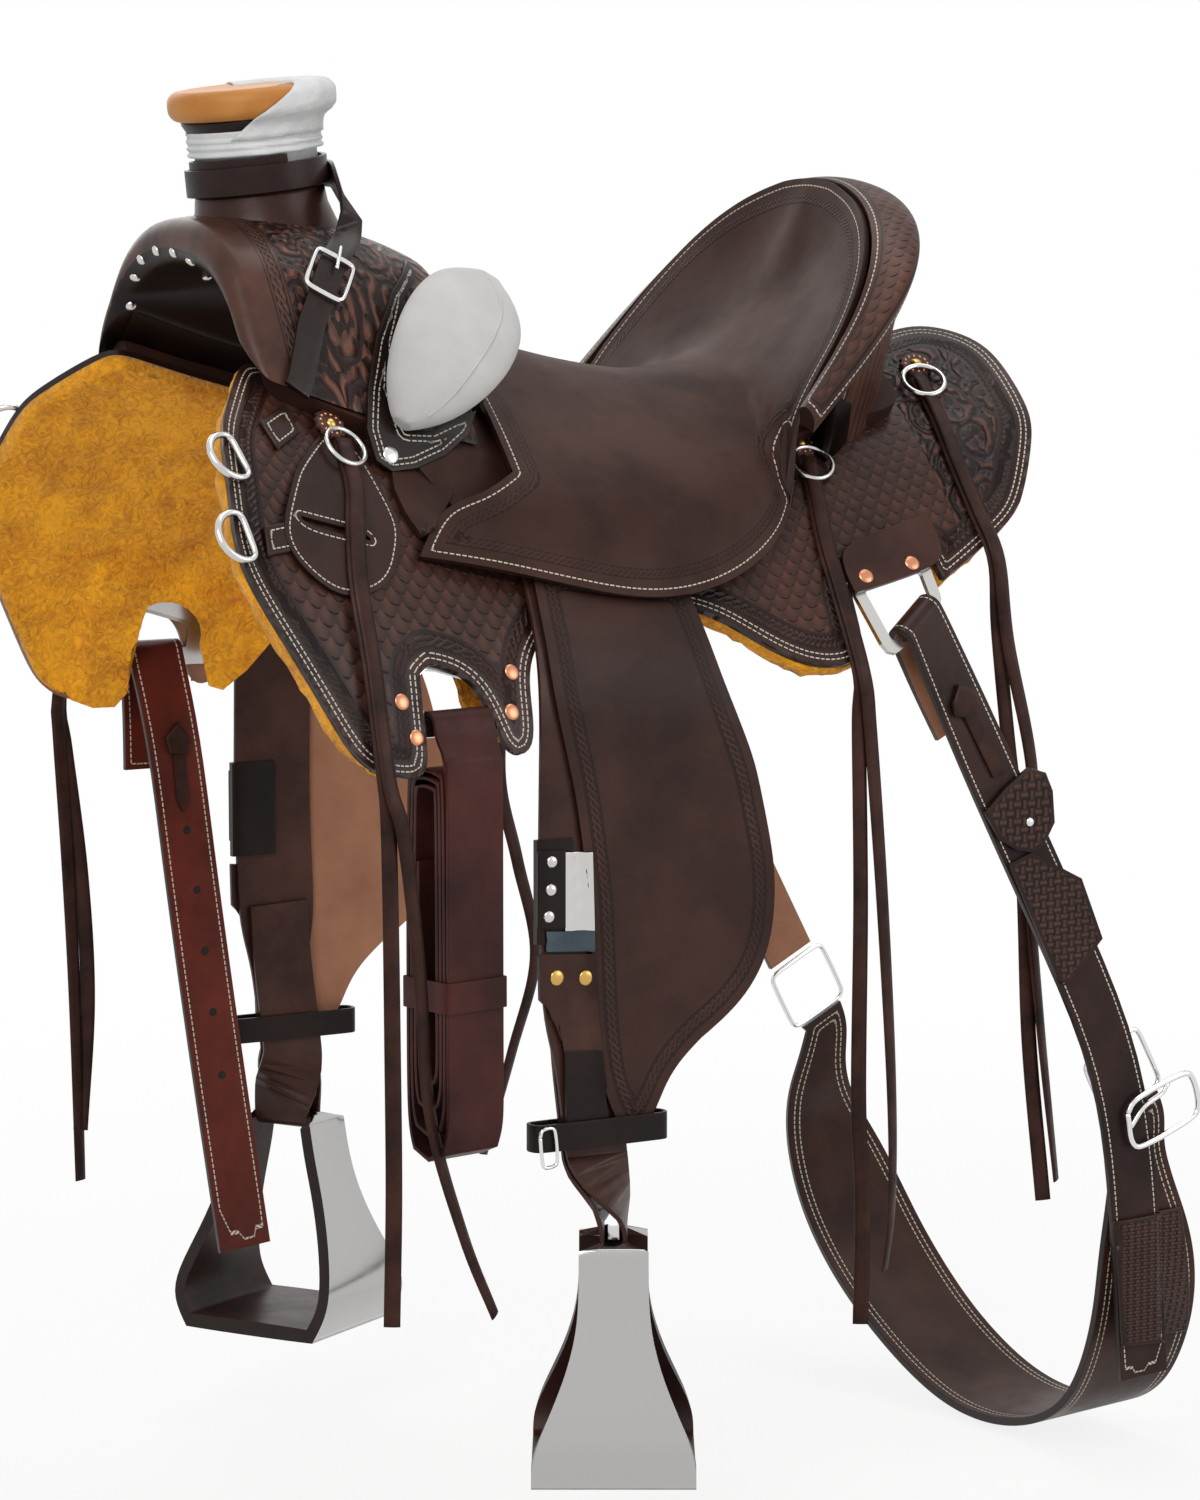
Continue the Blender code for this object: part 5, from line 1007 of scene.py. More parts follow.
# Profiles of the horn's pieces, as radius and height in metres
CAP_PROFILE = [
    (0.0, 0.0705), (0.030, 0.0705), *arc((0.0515, 0.0800), 0.0095, -90, 0, 7),
    *arc((0.0520, 0.0838), 0.0090, 0, 90, 7), (0.044, 0.0922), (0.030, 0.0918), (0.0, 0.0916),
]
UNDER_PROFILE = [
    (0.030, 0.0703), (0.0525, 0.0703), (0.0520, 0.0680), (0.0495, 0.0635), (0.047, 0.0590),
    (0.030, 0.0590),
]
WRAP_PROFILE = [
    (0.041, 0.014), (0.0440, 0.014), (0.0452, 0.0185), (0.0448, 0.024), (0.0448, 0.044),
    *[(0.0492 + 0.0006 * math.sin(k / 2), 0.0445 + 0.0180 * k / 44) for k in range(45)],
    (0.0470, 0.0632), (0.041, 0.0632),
]
HOOD_PROFILE = [
    (0.0500, 0.056), (0.0504, 0.060), (0.0512, 0.064), (0.0530, 0.068),
    *arc((0.0515, 0.0800), 0.0108, -60, 0, 8), *arc((0.0520, 0.0834), 0.0102, 0, 90, 8),
    (0.044, 0.0931), (0.038, 0.0924), (0.034, 0.0905),
]
COLLAR_PROFILE = [
    (0.040, -0.030), (0.062, -0.030), (0.0535, -0.008), (0.0490, 0.004), (0.0478, 0.0135),
    (0.0468, 0.0170), (0.0450, 0.0178), (0.040, 0.0178),
]
PLEAT_PITCH = 0.0042
PLEAT_DEPTH = 0.0009
PLEAT_SLANT = 0.0050
PLEAT_WAVER = 0.0016
HIDE_ROUGH = 0.0005
FOLD_DEPTH = 0.0007
HOOD_START = math.radians(2)
HOOD_ANGLE = math.radians(176)
HOOD_LEAN = math.radians(30)

add_piece("horn_cap", turned(CAP_PROFILE), [cap], "saddle", ("horn",))
add_piece("horn_cap_underside", turned(UNDER_PROFILE), [dark_leather], "saddle")

# Wound pleats are pressed into the wrap, each lap a little askew
wrap = turned(WRAP_PROFILE, 128)
for vert in wrap.verts:
    place = HORN_BACK @ (vert.co - HORN_BASE)
    around = math.atan2(place.y, place.x)
    drift = place.z + PLEAT_SLANT * math.sin(around + 0.8) + PLEAT_WAVER * math.sin(3 * around)
    push = PLEAT_DEPTH * ((drift / PLEAT_PITCH) % 1.0 - 0.5) + HIDE_ROUGH * noise.noise(place * 140)
    vert.co += HORN_TURN @ Vector((place.x, place.y, 0)).normalized() * push
add_piece("horn_wrap_hide", wrap, [hide], "saddle", ("horn_wrap",))

# The hood's folds fan out over the cap from where the hide is tucked in
hood = turned(HOOD_PROFILE, 72, HOOD_START, HOOD_ANGLE)
for vert in hood.verts:
    place = HORN_BACK @ (vert.co - HORN_BASE)
    around = math.atan2(place.y, place.x)
    share = (around - HOOD_START) / HOOD_ANGLE
    lean = HOOD_LEAN * (place.z - 0.088) / 0.02 * (1 - 2 * share)
    fold = FOLD_DEPTH * ((around * 4.2 + place.z * 210) % 1.0 - 0.5)
    far = math.hypot(place.x, place.y) + fold + 0.0006 * noise.noise(place * 120)
    place = Vector((far * math.cos(around + lean), far * math.sin(around + lean), place.z))
    vert.co = HORN_BASE + HORN_TURN @ place
shell = add_piece("horn_cap_hide", hood, [hide], "saddle")
shell = shell.modifiers.new("hide_thickness", "SOLIDIFY")
shell.thickness = 0.0014
shell.offset = 0
add_piece("horn_collar", turned(COLLAR_PROFILE), [plain_leather], "saddle")
round_metal("rope_buckle", chrome, 50)

# The cantle's back and the tree behind it narrow to the seat
CANTLE_TOP = 0.10
CANTLE_HEIGHT = 0.12
CANTLE_TAPER = 0.36
stand_in("tree_cantle", "_core", merged("tree_cantle"), [dark_leather])
for narrowed in ("cantle_back_leather", "tree_cantle_core"):
    for vert in bpy.data.objects[narrowed].data.vertices:
        drop = min(1.0, max(0.0, (CANTLE_TOP - vert.co.z) / CANTLE_HEIGHT))
        vert.co.x *= 1 - CANTLE_TAPER * drop

# Stirrups: polished plates outside, dark leather inside and on the tread, black at the edges
STIRRUP_MIDDLE = (0.262, -0.140, -0.640)
STIRRUP_TURN = math.radians(60)
STIRRUP_ROUNDING = 0.0012
RIM_FACING = 0.75
for tag, side in SIDES.items():
    bm = smoothed("stirrup_" + tag, 2, 45)
    forward = Vector((side * math.cos(STIRRUP_TURN), math.sin(STIRRUP_TURN), 0))
    middle = Vector(STIRRUP_MIDDLE)
    middle.x *= side
    for face in bm.faces:
        reach = face.calc_center_median() - middle
        reach -= forward * reach.dot(forward)
        lean = face.normal.dot(reach.normalized())
        if abs(face.normal.dot(forward)) > RIM_FACING:
            face.material_index = EDGE
        else:
            face.material_index = FLESH if lean < 0 else GRAIN
    lay_maps(bm)
    round_rims(bm, STIRRUP_ROUNDING)
    bmesh.ops.recalc_face_normals(bm, faces=bm.faces)
    stand_in("stirrup_" + tag, "_bell", bm, [mirror_steel, tread_leather, black_edge], even=True)

# CAD pieces that show as they are, in this scene's materials
for material, kept in (
    (satin_steel, ["rigging_plate_near", "rigging_plate_off", "rear_dee_near", "rear_dee_off"]),
    (seat_plain, ["tree_bar_near", "tree_bar_off", "ground_seat"]),
    (dark_leather, ["tree_fork"]),
):
    for node in kept:
        nodes[node].data.materials[0] = material


# Laces

CURVE_STEPS = 12
LACE_SPACING = 0.008
LACE_GAP = 0.0007
SECOND_RISE = 0.0048
SECOND_SHIFT = 0.002


def swept(stations, width, thick, rounding=0.25, sides=8):
    """A ribbon or cord drawn through its stations, each a place with an across and an out vector."""
    profile = []
    for k in range(sides):
        angle = math.tau * (k + 0.5) / sides
        c, s = math.cos(angle), math.sin(angle)
        square = max(abs(c), abs(s)) ** (1 - rounding)
        profile.append((c / square * width / 2, s / square * thick / 2))
    bm = bmesh.new()
    ring = None
    for place, across, out in stations:
        spots = [place + across * a + out * b for a, b in profile]
        if ring is None:
            ring = [bm.verts.new(spot) for spot in spots]
            edges = [bm.edges.new((ring[k], ring[(k + 1) % sides])) for k in range(sides)]
            first = list(edges)
            continue
        drawn = bmesh.ops.extrude_edge_only(bm, edges=edges)["geom"]
        fresh = {item for item in drawn if isinstance(item, bmesh.types.BMVert)}
        edges = [item for item in drawn if isinstance(item, bmesh.types.BMEdge)]
        edges = [edge for edge in edges if edge.verts[0] in fresh and edge.verts[1] in fresh]
        following = []
        for vert, spot in zip(ring, spots):
            new = next(e.other_vert(vert) for e in vert.link_edges if e.other_vert(vert) in fresh)
            new.co = spot
            following.append(new)
        ring = following
    bmesh.ops.contextual_create(bm, geom=first)
    bmesh.ops.contextual_create(bm, geom=edges)
    bmesh.ops.recalc_face_normals(bm, faces=bm.faces)
    return bm


def curve_through(points, spacing):
    """Points at an even spacing on a smooth curve through the given ones, and its length."""
    points = [Vector(p) for p in points]
    ends = [points[0] * 2 - points[1]] + points + [points[-1] * 2 - points[-2]]
    fine = []
    for a, b, c, d in zip(ends, ends[1:], ends[2:], ends[3:]):
        for t in (k / CURVE_STEPS for k in range(CURVE_STEPS)):
            bend = (2 * a - 5 * b + 4 * c - d) * t * t + (3 * b - a - 3 * c + d) * t ** 3
            fine.append(0.5 * (2 * b + (c - a) * t + bend))
    fine.append(points[-1])
    length = sum((b - a).length for a, b in zip(fine, fine[1:]))
    count = max(2, round(length / spacing))
    even, gone, index = [fine[0]], 0.0, 0
    for k in range(1, count):
        aim = length * k / count
        while gone + (fine[index + 1] - fine[index]).length < aim:
            gone += (fine[index + 1] - fine[index]).length
            index += 1
        share = (aim - gone) / (fine[index + 1] - fine[index]).length
        even.append(fine[index].lerp(fine[index + 1], share))
    return even + [fine[-1]], length


def headings(path):
    """The direction of a path at each of its points."""
    return [(b - a).normalized() for a, b in zip(path[:1] + path, path[1:] + path[-1:])]


def level_under(name, tag):
    """How far out from the back the leather under a string lies."""
    return KEEPER_OUT if (name, tag) == ("front", "near") else SKIRT_OUT


# Each string's points: laid on the skirt as (back to front, down the side), then hanging free,
# and where it has a second lace, that one's free points
STRINGS = {
    ("front", "near"): (
        [(-0.304, 0.121), (-0.308, 0.160), (-0.320, 0.200), (-0.330, 0.245), (-0.333, 0.300),
         (-0.334, 0.378)],
        [(0.284, -0.333, -0.235), (0.285, -0.332, -0.300), (0.285, -0.331, -0.400),
         (0.284, -0.330, -0.500), (0.282, -0.331, -0.595)],
        [(0.287, -0.322, -0.250), (0.279, -0.306, -0.350), (0.275, -0.296, -0.450),
         (0.272, -0.268, -0.540), (0.270, -0.242, -0.600)],
    ),
    ("middle", "near"): (
        [(0.104, 0.086), (0.096, 0.120), (0.087, 0.160), (0.084, 0.200), (0.083, 0.264)],
        [(0.238, 0.083, -0.200), (0.242, 0.083, -0.330), (0.244, 0.081, -0.480),
         (0.246, 0.084, -0.560), (0.247, 0.082, -0.650)],
        [(0.240, 0.092, -0.205), (0.245, 0.100, -0.330), (0.247, 0.108, -0.470),
         (0.246, 0.110, -0.560), (0.240, 0.108, -0.613)],
    ),
    ("rear", "near"): (
        [(0.232, 0.033), (0.228, 0.075), (0.223, 0.120), (0.222, 0.165), (0.223, 0.204)],
        [(0.203, 0.230, -0.140), (0.200, 0.243, -0.230), (0.199, 0.258, -0.330),
         (0.198, 0.266, -0.460), (0.199, 0.280, -0.586)],
        [(0.205, 0.238, -0.150), (0.204, 0.262, -0.250), (0.203, 0.262, -0.340),
         (0.203, 0.272, -0.440), (0.202, 0.290, -0.571)],
    ),
    ("front", "off"): (
        [(-0.304, 0.121), (-0.308, 0.160), (-0.320, 0.200), (-0.328, 0.245), (-0.330, 0.300),
         (-0.330, 0.378)],
        [(0.281, -0.328, -0.235), (0.281, -0.322, -0.340), (0.280, -0.318, -0.450),
         (0.278, -0.316, -0.595)],
        [(0.283, -0.322, -0.250), (0.283, -0.310, -0.350), (0.282, -0.306, -0.450),
         (0.281, -0.314, -0.555)],
    ),
    ("middle", "off"): (
        [(0.104, 0.086), (0.094, 0.120), (0.080, 0.160), (0.068, 0.200), (0.058, 0.264)],
        [(0.236, 0.048, -0.200), (0.236, 0.042, -0.290), (0.236, 0.058, -0.360),
         (0.236, 0.075, -0.440), (0.240, 0.055, -0.520), (0.244, 0.030, -0.604)],
        None,
    ),
}


def lace(key, ending, free, rise, shift, end_turn, stands_for):
    """A flat lace that lies on the skirt from its ring and then hangs free, twisting to its end."""
    side = SIDES[key[1]]
    level = level_under(*key) + rise
    points = [over_back(y + shift, s, level, side) for y, s in STRINGS[key][0]]
    points += [Vector((x * side, y, z)) for x, y, z in free]
    path, length = curve_through(points, LACE_SPACING)
    stations = []
    for k, (place, forward) in enumerate(zip(path, headings(path))):
        turn = Matrix.Rotation(end_turn * side * (k / len(path)) ** 2, 3, forward)
        across = turn @ (Vector((0, 1, 0)) - forward * forward.y).normalized()
        stations.append((place, across, forward.cross(across)))
    bm = swept(stations, STRING_WIDTH, STRING_THICK)
    name = "string_{}_{}_{}".format(*key, ending)
    made = add_piece(name, bm, [lace_leather], "saddle", stands_for)


for key, (laid, free, second) in STRINGS.items():
    if second:
        lace(key, "second", second, SECOND_RISE, SECOND_SHIFT, -0.7, ())
for key, (laid, free, second) in STRINGS.items():
    lace(key, "lace", free, LACE_GAP + STRING_THICK / 2, 0.0, 0.5, ("string_{}_{}".format(*key),))


# Fittings placed by the photograph

FOCAL = camera.data.lens / camera.data.sensor_width * PHOTO_HEIGHT
CAMERA_RIGHT = Vector((math.cos(TURN), math.sin(TURN), 0))
CAMERA_UP = CAMERA_RIGHT.cross(-away)
# A patch is laid flat where its carrier lies deeper than this behind its plane
DRAPE_DEPTH = 0.03
PATCH_SPACING = 0.005
PATCH_LIFT = 0.0002
DRAPED_TURNS = 3
FREE_TURNS = 60
TOP_LEAN = 0.55
trees = {}

# Places and outlines of the fittings on the photograph, in its pixels
PIXELS = {
    "gullet_nails": [(131, 306), (135, 278), (141, 260), (156, 251), (173, 253), (190, 262), (207, 278)],
    "copper_rivets_near": [(402, 702), (417, 738), (512, 672), (512, 712)],
    "flap_rivets": [(866, 576), (912, 563)],
    "roll_base": [
        (404, 262), (425, 268), (402, 300), (392, 345), (392, 390), (404, 431), (430, 432), (455, 420),
        (474, 412), (466, 436), (444, 456), (414, 470), (390, 473), (374, 462), (365, 430), (366, 390),
        (374, 340), (388, 296),
    ],
    "roll_screw": [(391, 455)],
    "seat_front_ear": [
        (388, 470), (391, 492), (402, 516), (418, 540), (432, 532), (444, 510), (458, 484), (474, 458),
        (486, 430), (480, 404), (462, 418), (432, 430), (408, 452),
    ],
    "rigging_plate_fleece": [
        (56, 560), (150, 548), (240, 552), (284, 606), (270, 640), (246, 668), (222, 688), (208, 684),
        *[(165 + 36 * math.cos(a / 10), 634 - 34 * math.sin(a / 10)) for a in range(-3, 34, 3)],
        (128, 660), (127, 690), (114, 705), (92, 706), (70, 698), (52, 676), (40, 640),
    ],
    "breast_dee_tab_upper": [(258, 424), (282, 408), (297, 436), (276, 452)],
    "breast_dee_tab_lower": [(262, 528), (292, 522), (296, 552), (266, 558)],
    "buckle_cover_flap": [(536, 850), (564, 850), (564, 928), (536, 928)],
    "slide_plate": [(564, 852), (592, 852), (594, 931), (564, 931)],
    "slide_band": [(545, 931), (594, 931), (594, 952), (545, 952)],
    "lower_cover": [
        (537, 954), (594, 954), (596, 1004), (600, 1052), (562, 1052), (556, 1016), (538, 1000),
    ],
    "neck_sleeve": [(562, 1050), (600, 1050), (608, 1132), (564, 1132)],
    "cover_rivets": [(552, 862), (551, 890), (549, 917)],
    "lower_rivets": [(557, 978), (586, 978)],
    "roll_seam": [
        (489, 279), (498, 296), (501, 315), (492, 340), (474, 368), (452, 396), (428, 417), (405, 431),
    ],
    "flank_roller_near": [(1122, 1104), (1186, 1068), (1196, 1112), (1130, 1150)],
    "flank_prong_near": [(1127, 1126), (1140, 1106), (1158, 1092), (1164, 1082)],
    "hobble_buckle": [(538, 1131), (553, 1127), (556, 1164), (541, 1168)],
    "rope_prong": [(338, 250), (336, 262), (334, 272)],
    "billet_basket_panel": [
        (1007, 864), (1030, 852), (1080, 878), (1101, 938), (1066, 984), (1056, 980),
    ],
    "billet_keeper": [
        (982, 812), (1002, 788), (1026, 767), (1043, 772), (1050, 790), (1052, 822), (1041, 844),
        (1029, 852), (1013, 850), (996, 838),
    ],
    "billet_keeper_snap": [(1030, 822)],
    "cinch_end_keeper": [(1110, 1220), (1178, 1206), (1184, 1330), (1120, 1346)],
    "billet_lace_knot": [(950, 704), (956, 684), (972, 690), (976, 705), (963, 718), (952, 716)],
    "billet_lace_tail": [(960, 712), (973, 708), (1003, 773), (992, 778)],
    "off_billet_knot": [(164, 738), (176, 722), (189, 738), (184, 754), (168, 754)],
    "off_billet_lace_tail": [(172, 752), (184, 752), (188, 800), (182, 812), (176, 800)],
    "off_billet_holes": [(187, 830), (197, 890), (205, 951), (213, 1012), (222, 1075)],
    "rope_strap_holes": [(344, 229), (329, 277), (320, 306)],
    "billet_holes": [(1101, 997), (1124, 1052)],
}
# Where the strap under a wire fitting is looked for
FLANK_BUCKLE = (1140, 1110)
HOBBLE = (556, 1146)
ROPE_STRAP = (334, 268)


def tree_of(name):
    """A search tree of a finished piece."""
    if name not in trees:
        mesh = bpy.data.objects[name].data
        trees[name] = BVHTree.FromPolygons(
            [v.co.copy() for v in mesh.vertices], [tuple(p.vertices) for p in mesh.polygons]
        )
    return trees[name]


def nearest_hit(start, heading, carriers):
    """The first place that a line meets on the named pieces, with its normal and how far it is."""
    best = None
    for name in carriers:
        place, normal, index, far = tree_of(name).ray_cast(start, heading)
        if place is not None and (best is None or far < best[2]):
            best = (place, normal, far)
    return best


def seen_at(px, py, carriers):
    """The place and its normal on the named pieces behind one pixel, and the line of sight."""
    across = CAMERA_RIGHT * (px - PHOTO_WIDTH / 2) / FOCAL
    heading = (-away + across + CAMERA_UP * (PHOTO_HEIGHT / 2 - py) / FOCAL).normalized()
    found = nearest_hit(camera.location, heading, carriers)
    if found is None:
        return None, None, heading
    place, normal, far = found
    return place, -normal if normal.dot(heading) > 0 else normal, heading


def on_plane(heading, centre, normal):
    """Where a line of sight meets a plane."""
    return camera.location + heading * ((centre - camera.location).dot(normal) / heading.dot(normal))


def standing(normal):
    """Axes on a surface: across, up and out."""
    across = Vector((0, 0, 1)).cross(normal).normalized()
    return across, normal.cross(across), normal


def basis(place, normal, size=(1, 1, 1)):
    """A matrix that stands a unit shape on a surface."""
    turn = Matrix(standing(normal)).transposed().to_4x4()
    return Matrix.Translation(place) @ turn @ Matrix.Diagonal((*size, 1))


def raise_faces(bm, move):
    """Extrudes all faces by a move, and gives their new vertices."""
    raised = bmesh.ops.extrude_face_region(bm, geom=bm.faces)["geom"]
    raised = [item for item in raised if isinstance(item, bmesh.types.BMVert)]
    bmesh.ops.translate(bm, verts=raised, vec=move)
    return raised


def add_pair(name, bm, materials, body, both, even=False):
    """A piece for the near side, and where it is wanted its mirror image for the off side."""
    other = bm.copy() if both else None
    add_piece(name, bm, materials, body, even=even)
    if both:
        bmesh.ops.scale(other, verts=other.verts, vec=(-1, 1, 1))
        bmesh.ops.reverse_faces(other, faces=other.faces)
        add_piece(name + "_off", other, materials, OTHER_BODY[body], even=even)


def studs(name, places, radius, high, material, body, both=False):
    """Domed nails or rivets on places with normals."""
    bm = bmesh.new()
    for place, normal in places:
        bmesh.ops.create_uvsphere(
            bm, u_segments=16, v_segments=8, radius=1,
            matrix=basis(place, normal, (radius, radius, high)),
        )
    add_pair(name, bm, [material], body, both)


def seen_places(name, carriers):
    """The places and normals on the carriers behind a fitting's own pixels."""
    seen = [seen_at(px, py, carriers) for px, py in PIXELS[name]]
    return [(place, normal) for place, normal, heading in seen if place is not None]


def patch(name, carriers, thick, materials, body, rounding=0.0005, lift=PATCH_LIFT, drape=True):
    """A flat piece with the outline seen in the photograph, laid on what carries it."""
    pixels = PIXELS[name]
    seen = [seen_at(px, py, carriers) for px, py in pixels]
    middle = [sum(axis) / len(pixels) for axis in zip(*pixels)]
    centre, normal, heading = seen_at(*middle, carriers)
    if centre is None:
        found = [one for one in seen if one[0] is not None]
        centre = sum((one[0] for one in found), Vector()) / len(found)
        normal = sum((one[1] for one in found), Vector()).normalized()
    bm = bmesh.new()
    corners = [bm.verts.new(on_plane(heading, centre, normal)) for place, lean, heading in seen]
    bm.faces.new(corners)
    bmesh.ops.triangulate(bm, faces=bm.faces)
    for vert, (place, lean, heading) in zip(corners, seen):
        if place is not None and abs((place - centre).dot(normal)) <= DRAPE_DEPTH:
            vert.co = place
    split_long(bm, PATCH_SPACING)
    for vert in bm.verts if drape else []:
        found = nearest_hit(vert.co + normal * DRAPE_DEPTH, -normal, carriers)
        if found and found[2] < 2 * DRAPE_DEPTH:
            vert.co = found[0] + normal * lift
    for turn in range(DRAPED_TURNS if drape else FREE_TURNS):
        bmesh.ops.smooth_vert(
            bm, verts=[v for v in bm.verts if not v.is_boundary], factor=0.5,
            use_axis_x=True, use_axis_y=True, use_axis_z=True,
        )
    raise_faces(bm, normal * thick)
    bmesh.ops.recalc_face_normals(bm, faces=bm.faces)
    for face in bm.faces:
        lean = face.normal.dot(normal)
        side = GRAIN if lean > 0 else FLESH
        face.material_index = side if abs(lean) > TOP_LEAN else EDGE
    lay_maps(bm)
    round_rims(bm, rounding)
    add_pair(name, bm, materials, body, body in OTHER_BODY, even=True)


def bent_wire(name, places, radius, material, body, closed, both):
    """Round wire or thong along places."""
    path, length = curve_through(places + (places[:1] if closed else []), radius * 1.3)
    across = headings(path)[0].orthogonal()
    stations = []
    for place, forward in zip(path, headings(path)):
        across = (across - forward * forward.dot(across)).normalized()
        stations.append((place, across, forward.cross(across)))
    add_pair(name, swept(stations, radius * 2, radius * 2, 1.0), [material], body, both)


def squared(corners, share=0.18):
    """A loop of pixels with its corners cut, for a bent wire."""
    found = []
    for k, corner in enumerate(corners):
        for other in (corners[k - 1], corners[(k + 1) % len(corners)]):
            found.append(tuple(c + (o - c) * share for c, o in zip(corner, other)))
    return found


def wire_frame(name, around, carriers, radius, lift, body, closed, both):
    """A wire buckle frame or prong, held just above a strap on the plane of one place on it."""
    centre, normal, heading = seen_at(*around, carriers)
    pixels = squared(PIXELS[name]) if closed else PIXELS[name]
    sights = [seen_at(px, py, carriers)[2] for px, py in pixels]
    places = [on_plane(sight, centre, normal) + normal * lift for sight in sights]
    bent_wire(name, places, radius, chrome, body, closed, both)


# Rosettes behind the string rings: a scalloped disc, a brass stud and a circle of copper beads
RING_PLACES = {"front": (-0.303, 0.128), "middle": (0.106, 0.092), "rear": (0.234, 0.040)}
ROSETTE_RISE = 0.022
ROSETTE_RADIUS = 0.0128
ROSETTE_THICK = 0.0032
ROSETTE_GAP = 0.0004
ROSETTE_TAPER = 0.93
STUD_OUT = 0.0034
BEAD_OUT = 0.0032
BEAD_CIRCLE = 0.0088
SCALLOPS = 12
SCALLOP_DEPTH = 0.07
for ring, (y, s) in RING_PLACES.items():
    for tag, side in SIDES.items():
        normal = out_of_back(y, s, side)
        across, up, out = standing(normal)
        down = (Vector((0, 0, -1)) + normal * normal.z).normalized()
        top = over_back(y, s, level_under(ring, tag), side) - down * ROSETTE_RISE
        bm = bmesh.new()
        bmesh.ops.create_circle(bm, cap_ends=True, segments=72, radius=1)
        for vert in bm.verts:
            around = math.atan2(vert.co.y, vert.co.x)
            vert.co *= ROSETTE_RADIUS * (1 + SCALLOP_DEPTH * math.cos(SCALLOPS * around))
        raised = raise_faces(bm, (0, 0, ROSETTE_THICK))
        bmesh.ops.scale(bm, verts=raised, vec=(ROSETTE_TAPER, ROSETTE_TAPER, 1))
        bmesh.ops.recalc_face_normals(bm, faces=bm.faces)
        bmesh.ops.transform(bm, verts=bm.verts, matrix=basis(top + normal * ROSETTE_GAP, normal))
        bmesh.ops.bevel(
            bm, geom=[e for e in bm.edges if e.calc_face_angle(0) > 0.6], offset=0.0006, segments=2,
            profile=0.5, affect="EDGES", material=-1,
        )
        add_piece(f"rosette_{ring}_{tag}", bm, [rosette_leather], "saddle")
        stud = [(top + normal * STUD_OUT, normal)]
        studs(f"rosette_stud_{ring}_{tag}", stud, 0.0046, 0.0030, brass, "saddle")
        beads = []
        for turn in (math.tau * k / SCALLOPS for k in range(SCALLOPS)):
            out = (across * math.cos(turn) + up * math.sin(turn)) * BEAD_CIRCLE
            beads.append((top + out + normal * BEAD_OUT, normal))
        studs(f"rosette_beads_{ring}_{tag}", beads, 0.0013, 0.0012, copper, "saddle")

FORK = ("fork_cover_leather",)
SEAT = ("seat_leather",)
SKIRT = ("skirt_near_leather",)
HANGING = ("stirrup_leather_near_leather", "buckle_cover_near_leather", "fender_near_leather")
BILLET = ("flank_billet_near_leather",)
OFF_BILLET = ("off_billet_leather",)
ROPE = ("rope_strap_leather",)
TAB = [keeper_leather, dark_leather, brown_edge]
LACE = [lace_leather, lace_leather, brown_edge]
BASKET = [basket_leather, dark_leather, black_edge]

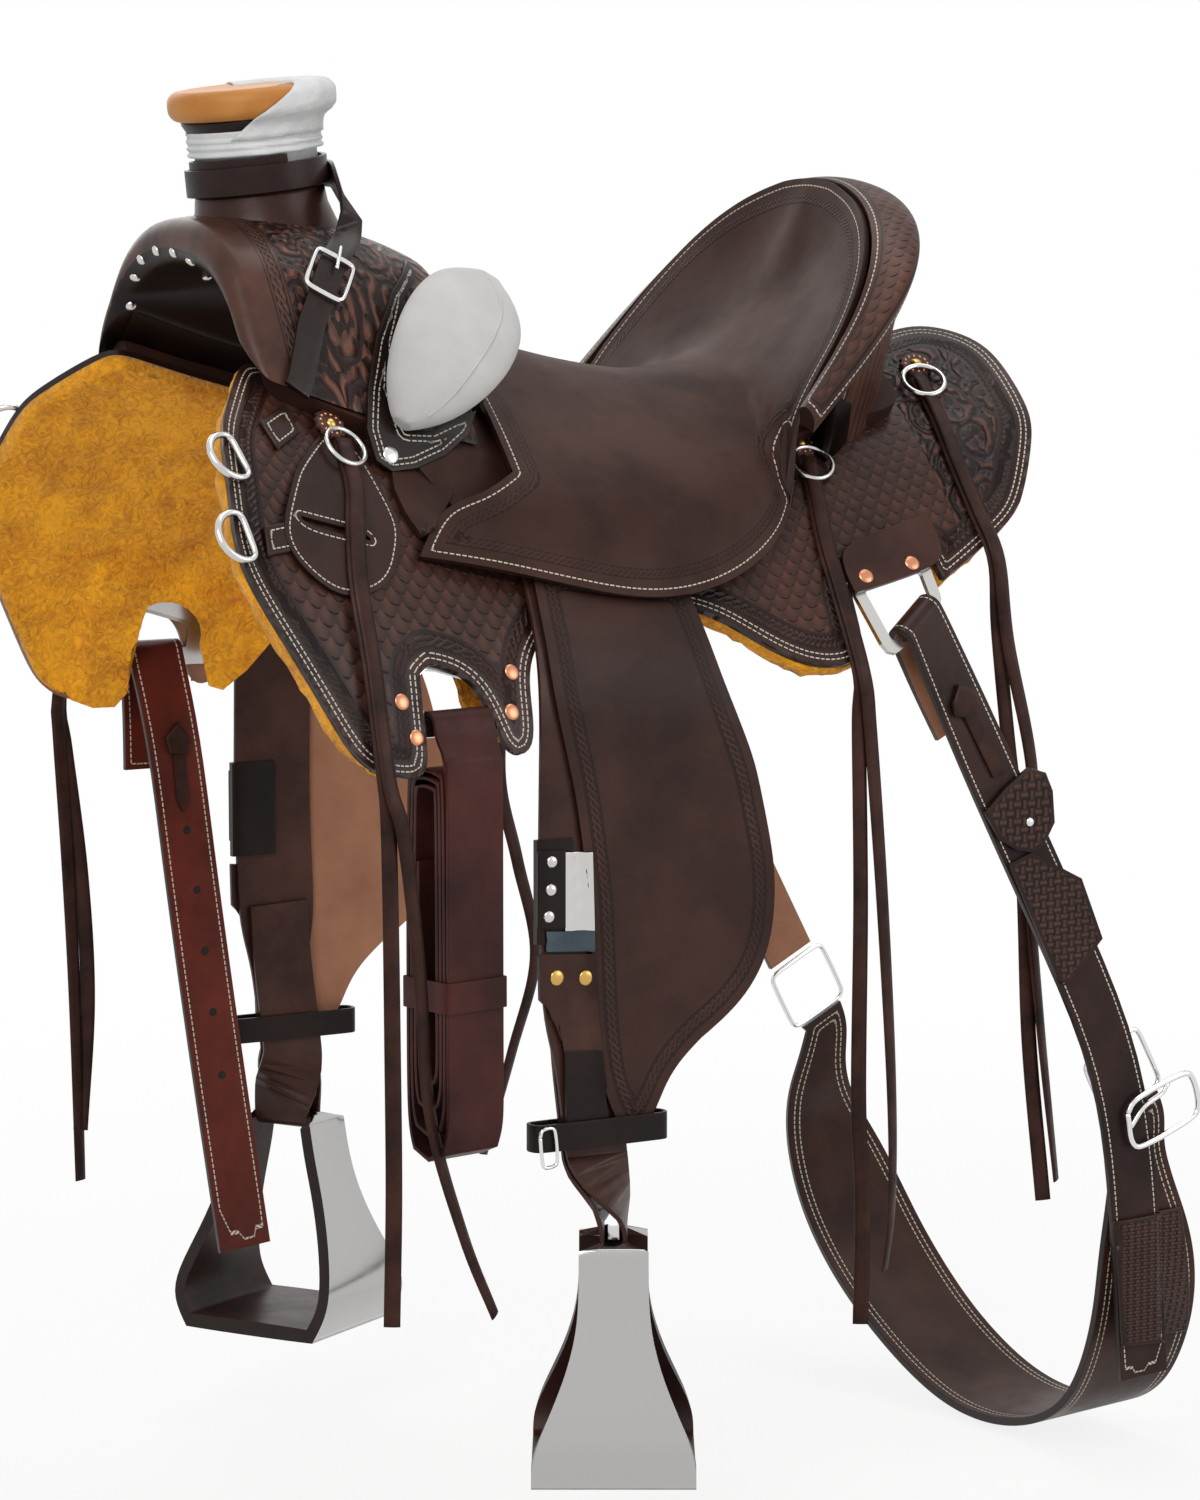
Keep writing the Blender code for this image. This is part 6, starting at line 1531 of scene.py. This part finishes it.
# Each patch: carriers, thickness, materials and body, and where they differ its rounding, how far it
# is lifted off its carriers and whether it drapes over them
PATCHES = {
    "roll_base": (FORK + SEAT, 0.0036, [roll_base_leather, dark_leather, black_edge], "saddle"),
    "seat_front_ear": (
        SEAT + SKIRT, 0.0050, [seat_plain, seat_plain, brown_edge], "saddle", 0.0005, 0.0, False,
    ),
    "rigging_plate_fleece": (("fleece_off_wool",), 0.0040, [wool] * 3, "saddle", 0.0015, -0.0036),
    "breast_dee_tab_upper": (SKIRT, 0.0036, TAB, "saddle", 0.0014),
    "breast_dee_tab_lower": (SKIRT, 0.0036, TAB, "saddle", 0.0014),
    "buckle_cover_flap": (HANGING, 0.0030, DARK, "hanging_near"),
    "slide_plate": (HANGING, 0.0016, [satin_steel, satin_steel, black_edge], "hanging_near"),
    "slide_band": (HANGING, 0.0018, [slate_band, slate_band, black_edge], "hanging_near"),
    "lower_cover": (HANGING, 0.0032, [plain_leather, plain_leather, black_edge], "hanging_near"),
    "neck_sleeve": (HANGING, 0.0040, DARK, "hanging_near"),
    "billet_basket_panel": (BILLET, 0.0024, BASKET, "flank_set"),
    "billet_keeper": (BILLET, 0.0046, BASKET, "flank_set", 0.0012),
    "cinch_end_keeper": (BILLET + ("flank_cinch_leather",), 0.0042, BASKET, "flank_set", 0.0012),
    "billet_lace_knot": (BILLET, 0.0052, LACE, "flank_set", 0.0016),
    "billet_lace_tail": (BILLET, 0.0022, LACE, "flank_set"),
    "off_billet_knot": (OFF_BILLET, 0.0050, LACE, "billet_strap", 0.0016),
    "off_billet_lace_tail": (OFF_BILLET, 0.0022, LACE, "billet_strap"),
}
for name, settings in PATCHES.items():
    patch(name, *settings)

# Nails, rivets and snaps, and punched holes drawn as flat dark discs of painted shade: carriers, radius,
# height, material, body and whether the off side has them too
STUDS = {
    "gullet_nails": (FORK, 0.0042, 0.0022, satin_steel, "saddle", False),
    "copper_rivets_near": (SKIRT, 0.0062, 0.0016, copper, "saddle", True),
    "flap_rivets": (("rear_flap_near_leather",) + SKIRT, 0.0062, 0.0016, copper, "saddle", True),
    "roll_screw": (("roll_base",), 0.0068, 0.0018, chrome, "saddle", True),
    "cover_rivets": (("buckle_cover_flap",), 0.0044, 0.0018, satin_steel, "hanging_near", True),
    "lower_rivets": (("lower_cover",), 0.0058, 0.0016, brass, "hanging_near", True),
    "billet_keeper_snap": (("billet_keeper",), 0.0036, 0.0018, chrome, "flank_set", False),
    "off_billet_holes": (OFF_BILLET, 0.0034, 0.0003, hole_painted_shade, "billet_strap", False),
    "rope_strap_holes": (ROPE, 0.0024, 0.0003, hole_painted_shade, "saddle", False),
    "billet_holes": (BILLET, 0.0030, 0.0003, hole_painted_shade, "flank_set", False),
}
for name, (carriers, *settings) in STUDS.items():
    studs(name, seen_places(name, carriers), *settings)

# The raised seam on each roll, and the wire frames and prongs of the buckles
seam = [place for place, normal in seen_places("roll_seam", ("bucking_roll_near_pad",))]
bent_wire("roll_seam", seam, 0.0011, suede, "saddle", closed=False, both=True)
for name, settings in {
    "flank_roller_near": (FLANK_BUCKLE, BILLET, 0.0024, 0.0052, "flank_set", True, False),
    "flank_prong_near": (FLANK_BUCKLE, BILLET, 0.0020, 0.0050, "flank_set", False, False),
    "hobble_buckle": (HOBBLE, ("hobble_strap_near_leather",), 0.0014, 0.0028, "hanging_near", True, True),
    "rope_prong": (ROPE_STRAP, ROPE, 0.0015, 0.0045, "saddle", False, False),
}.items():
    wire_frame(name, *settings)
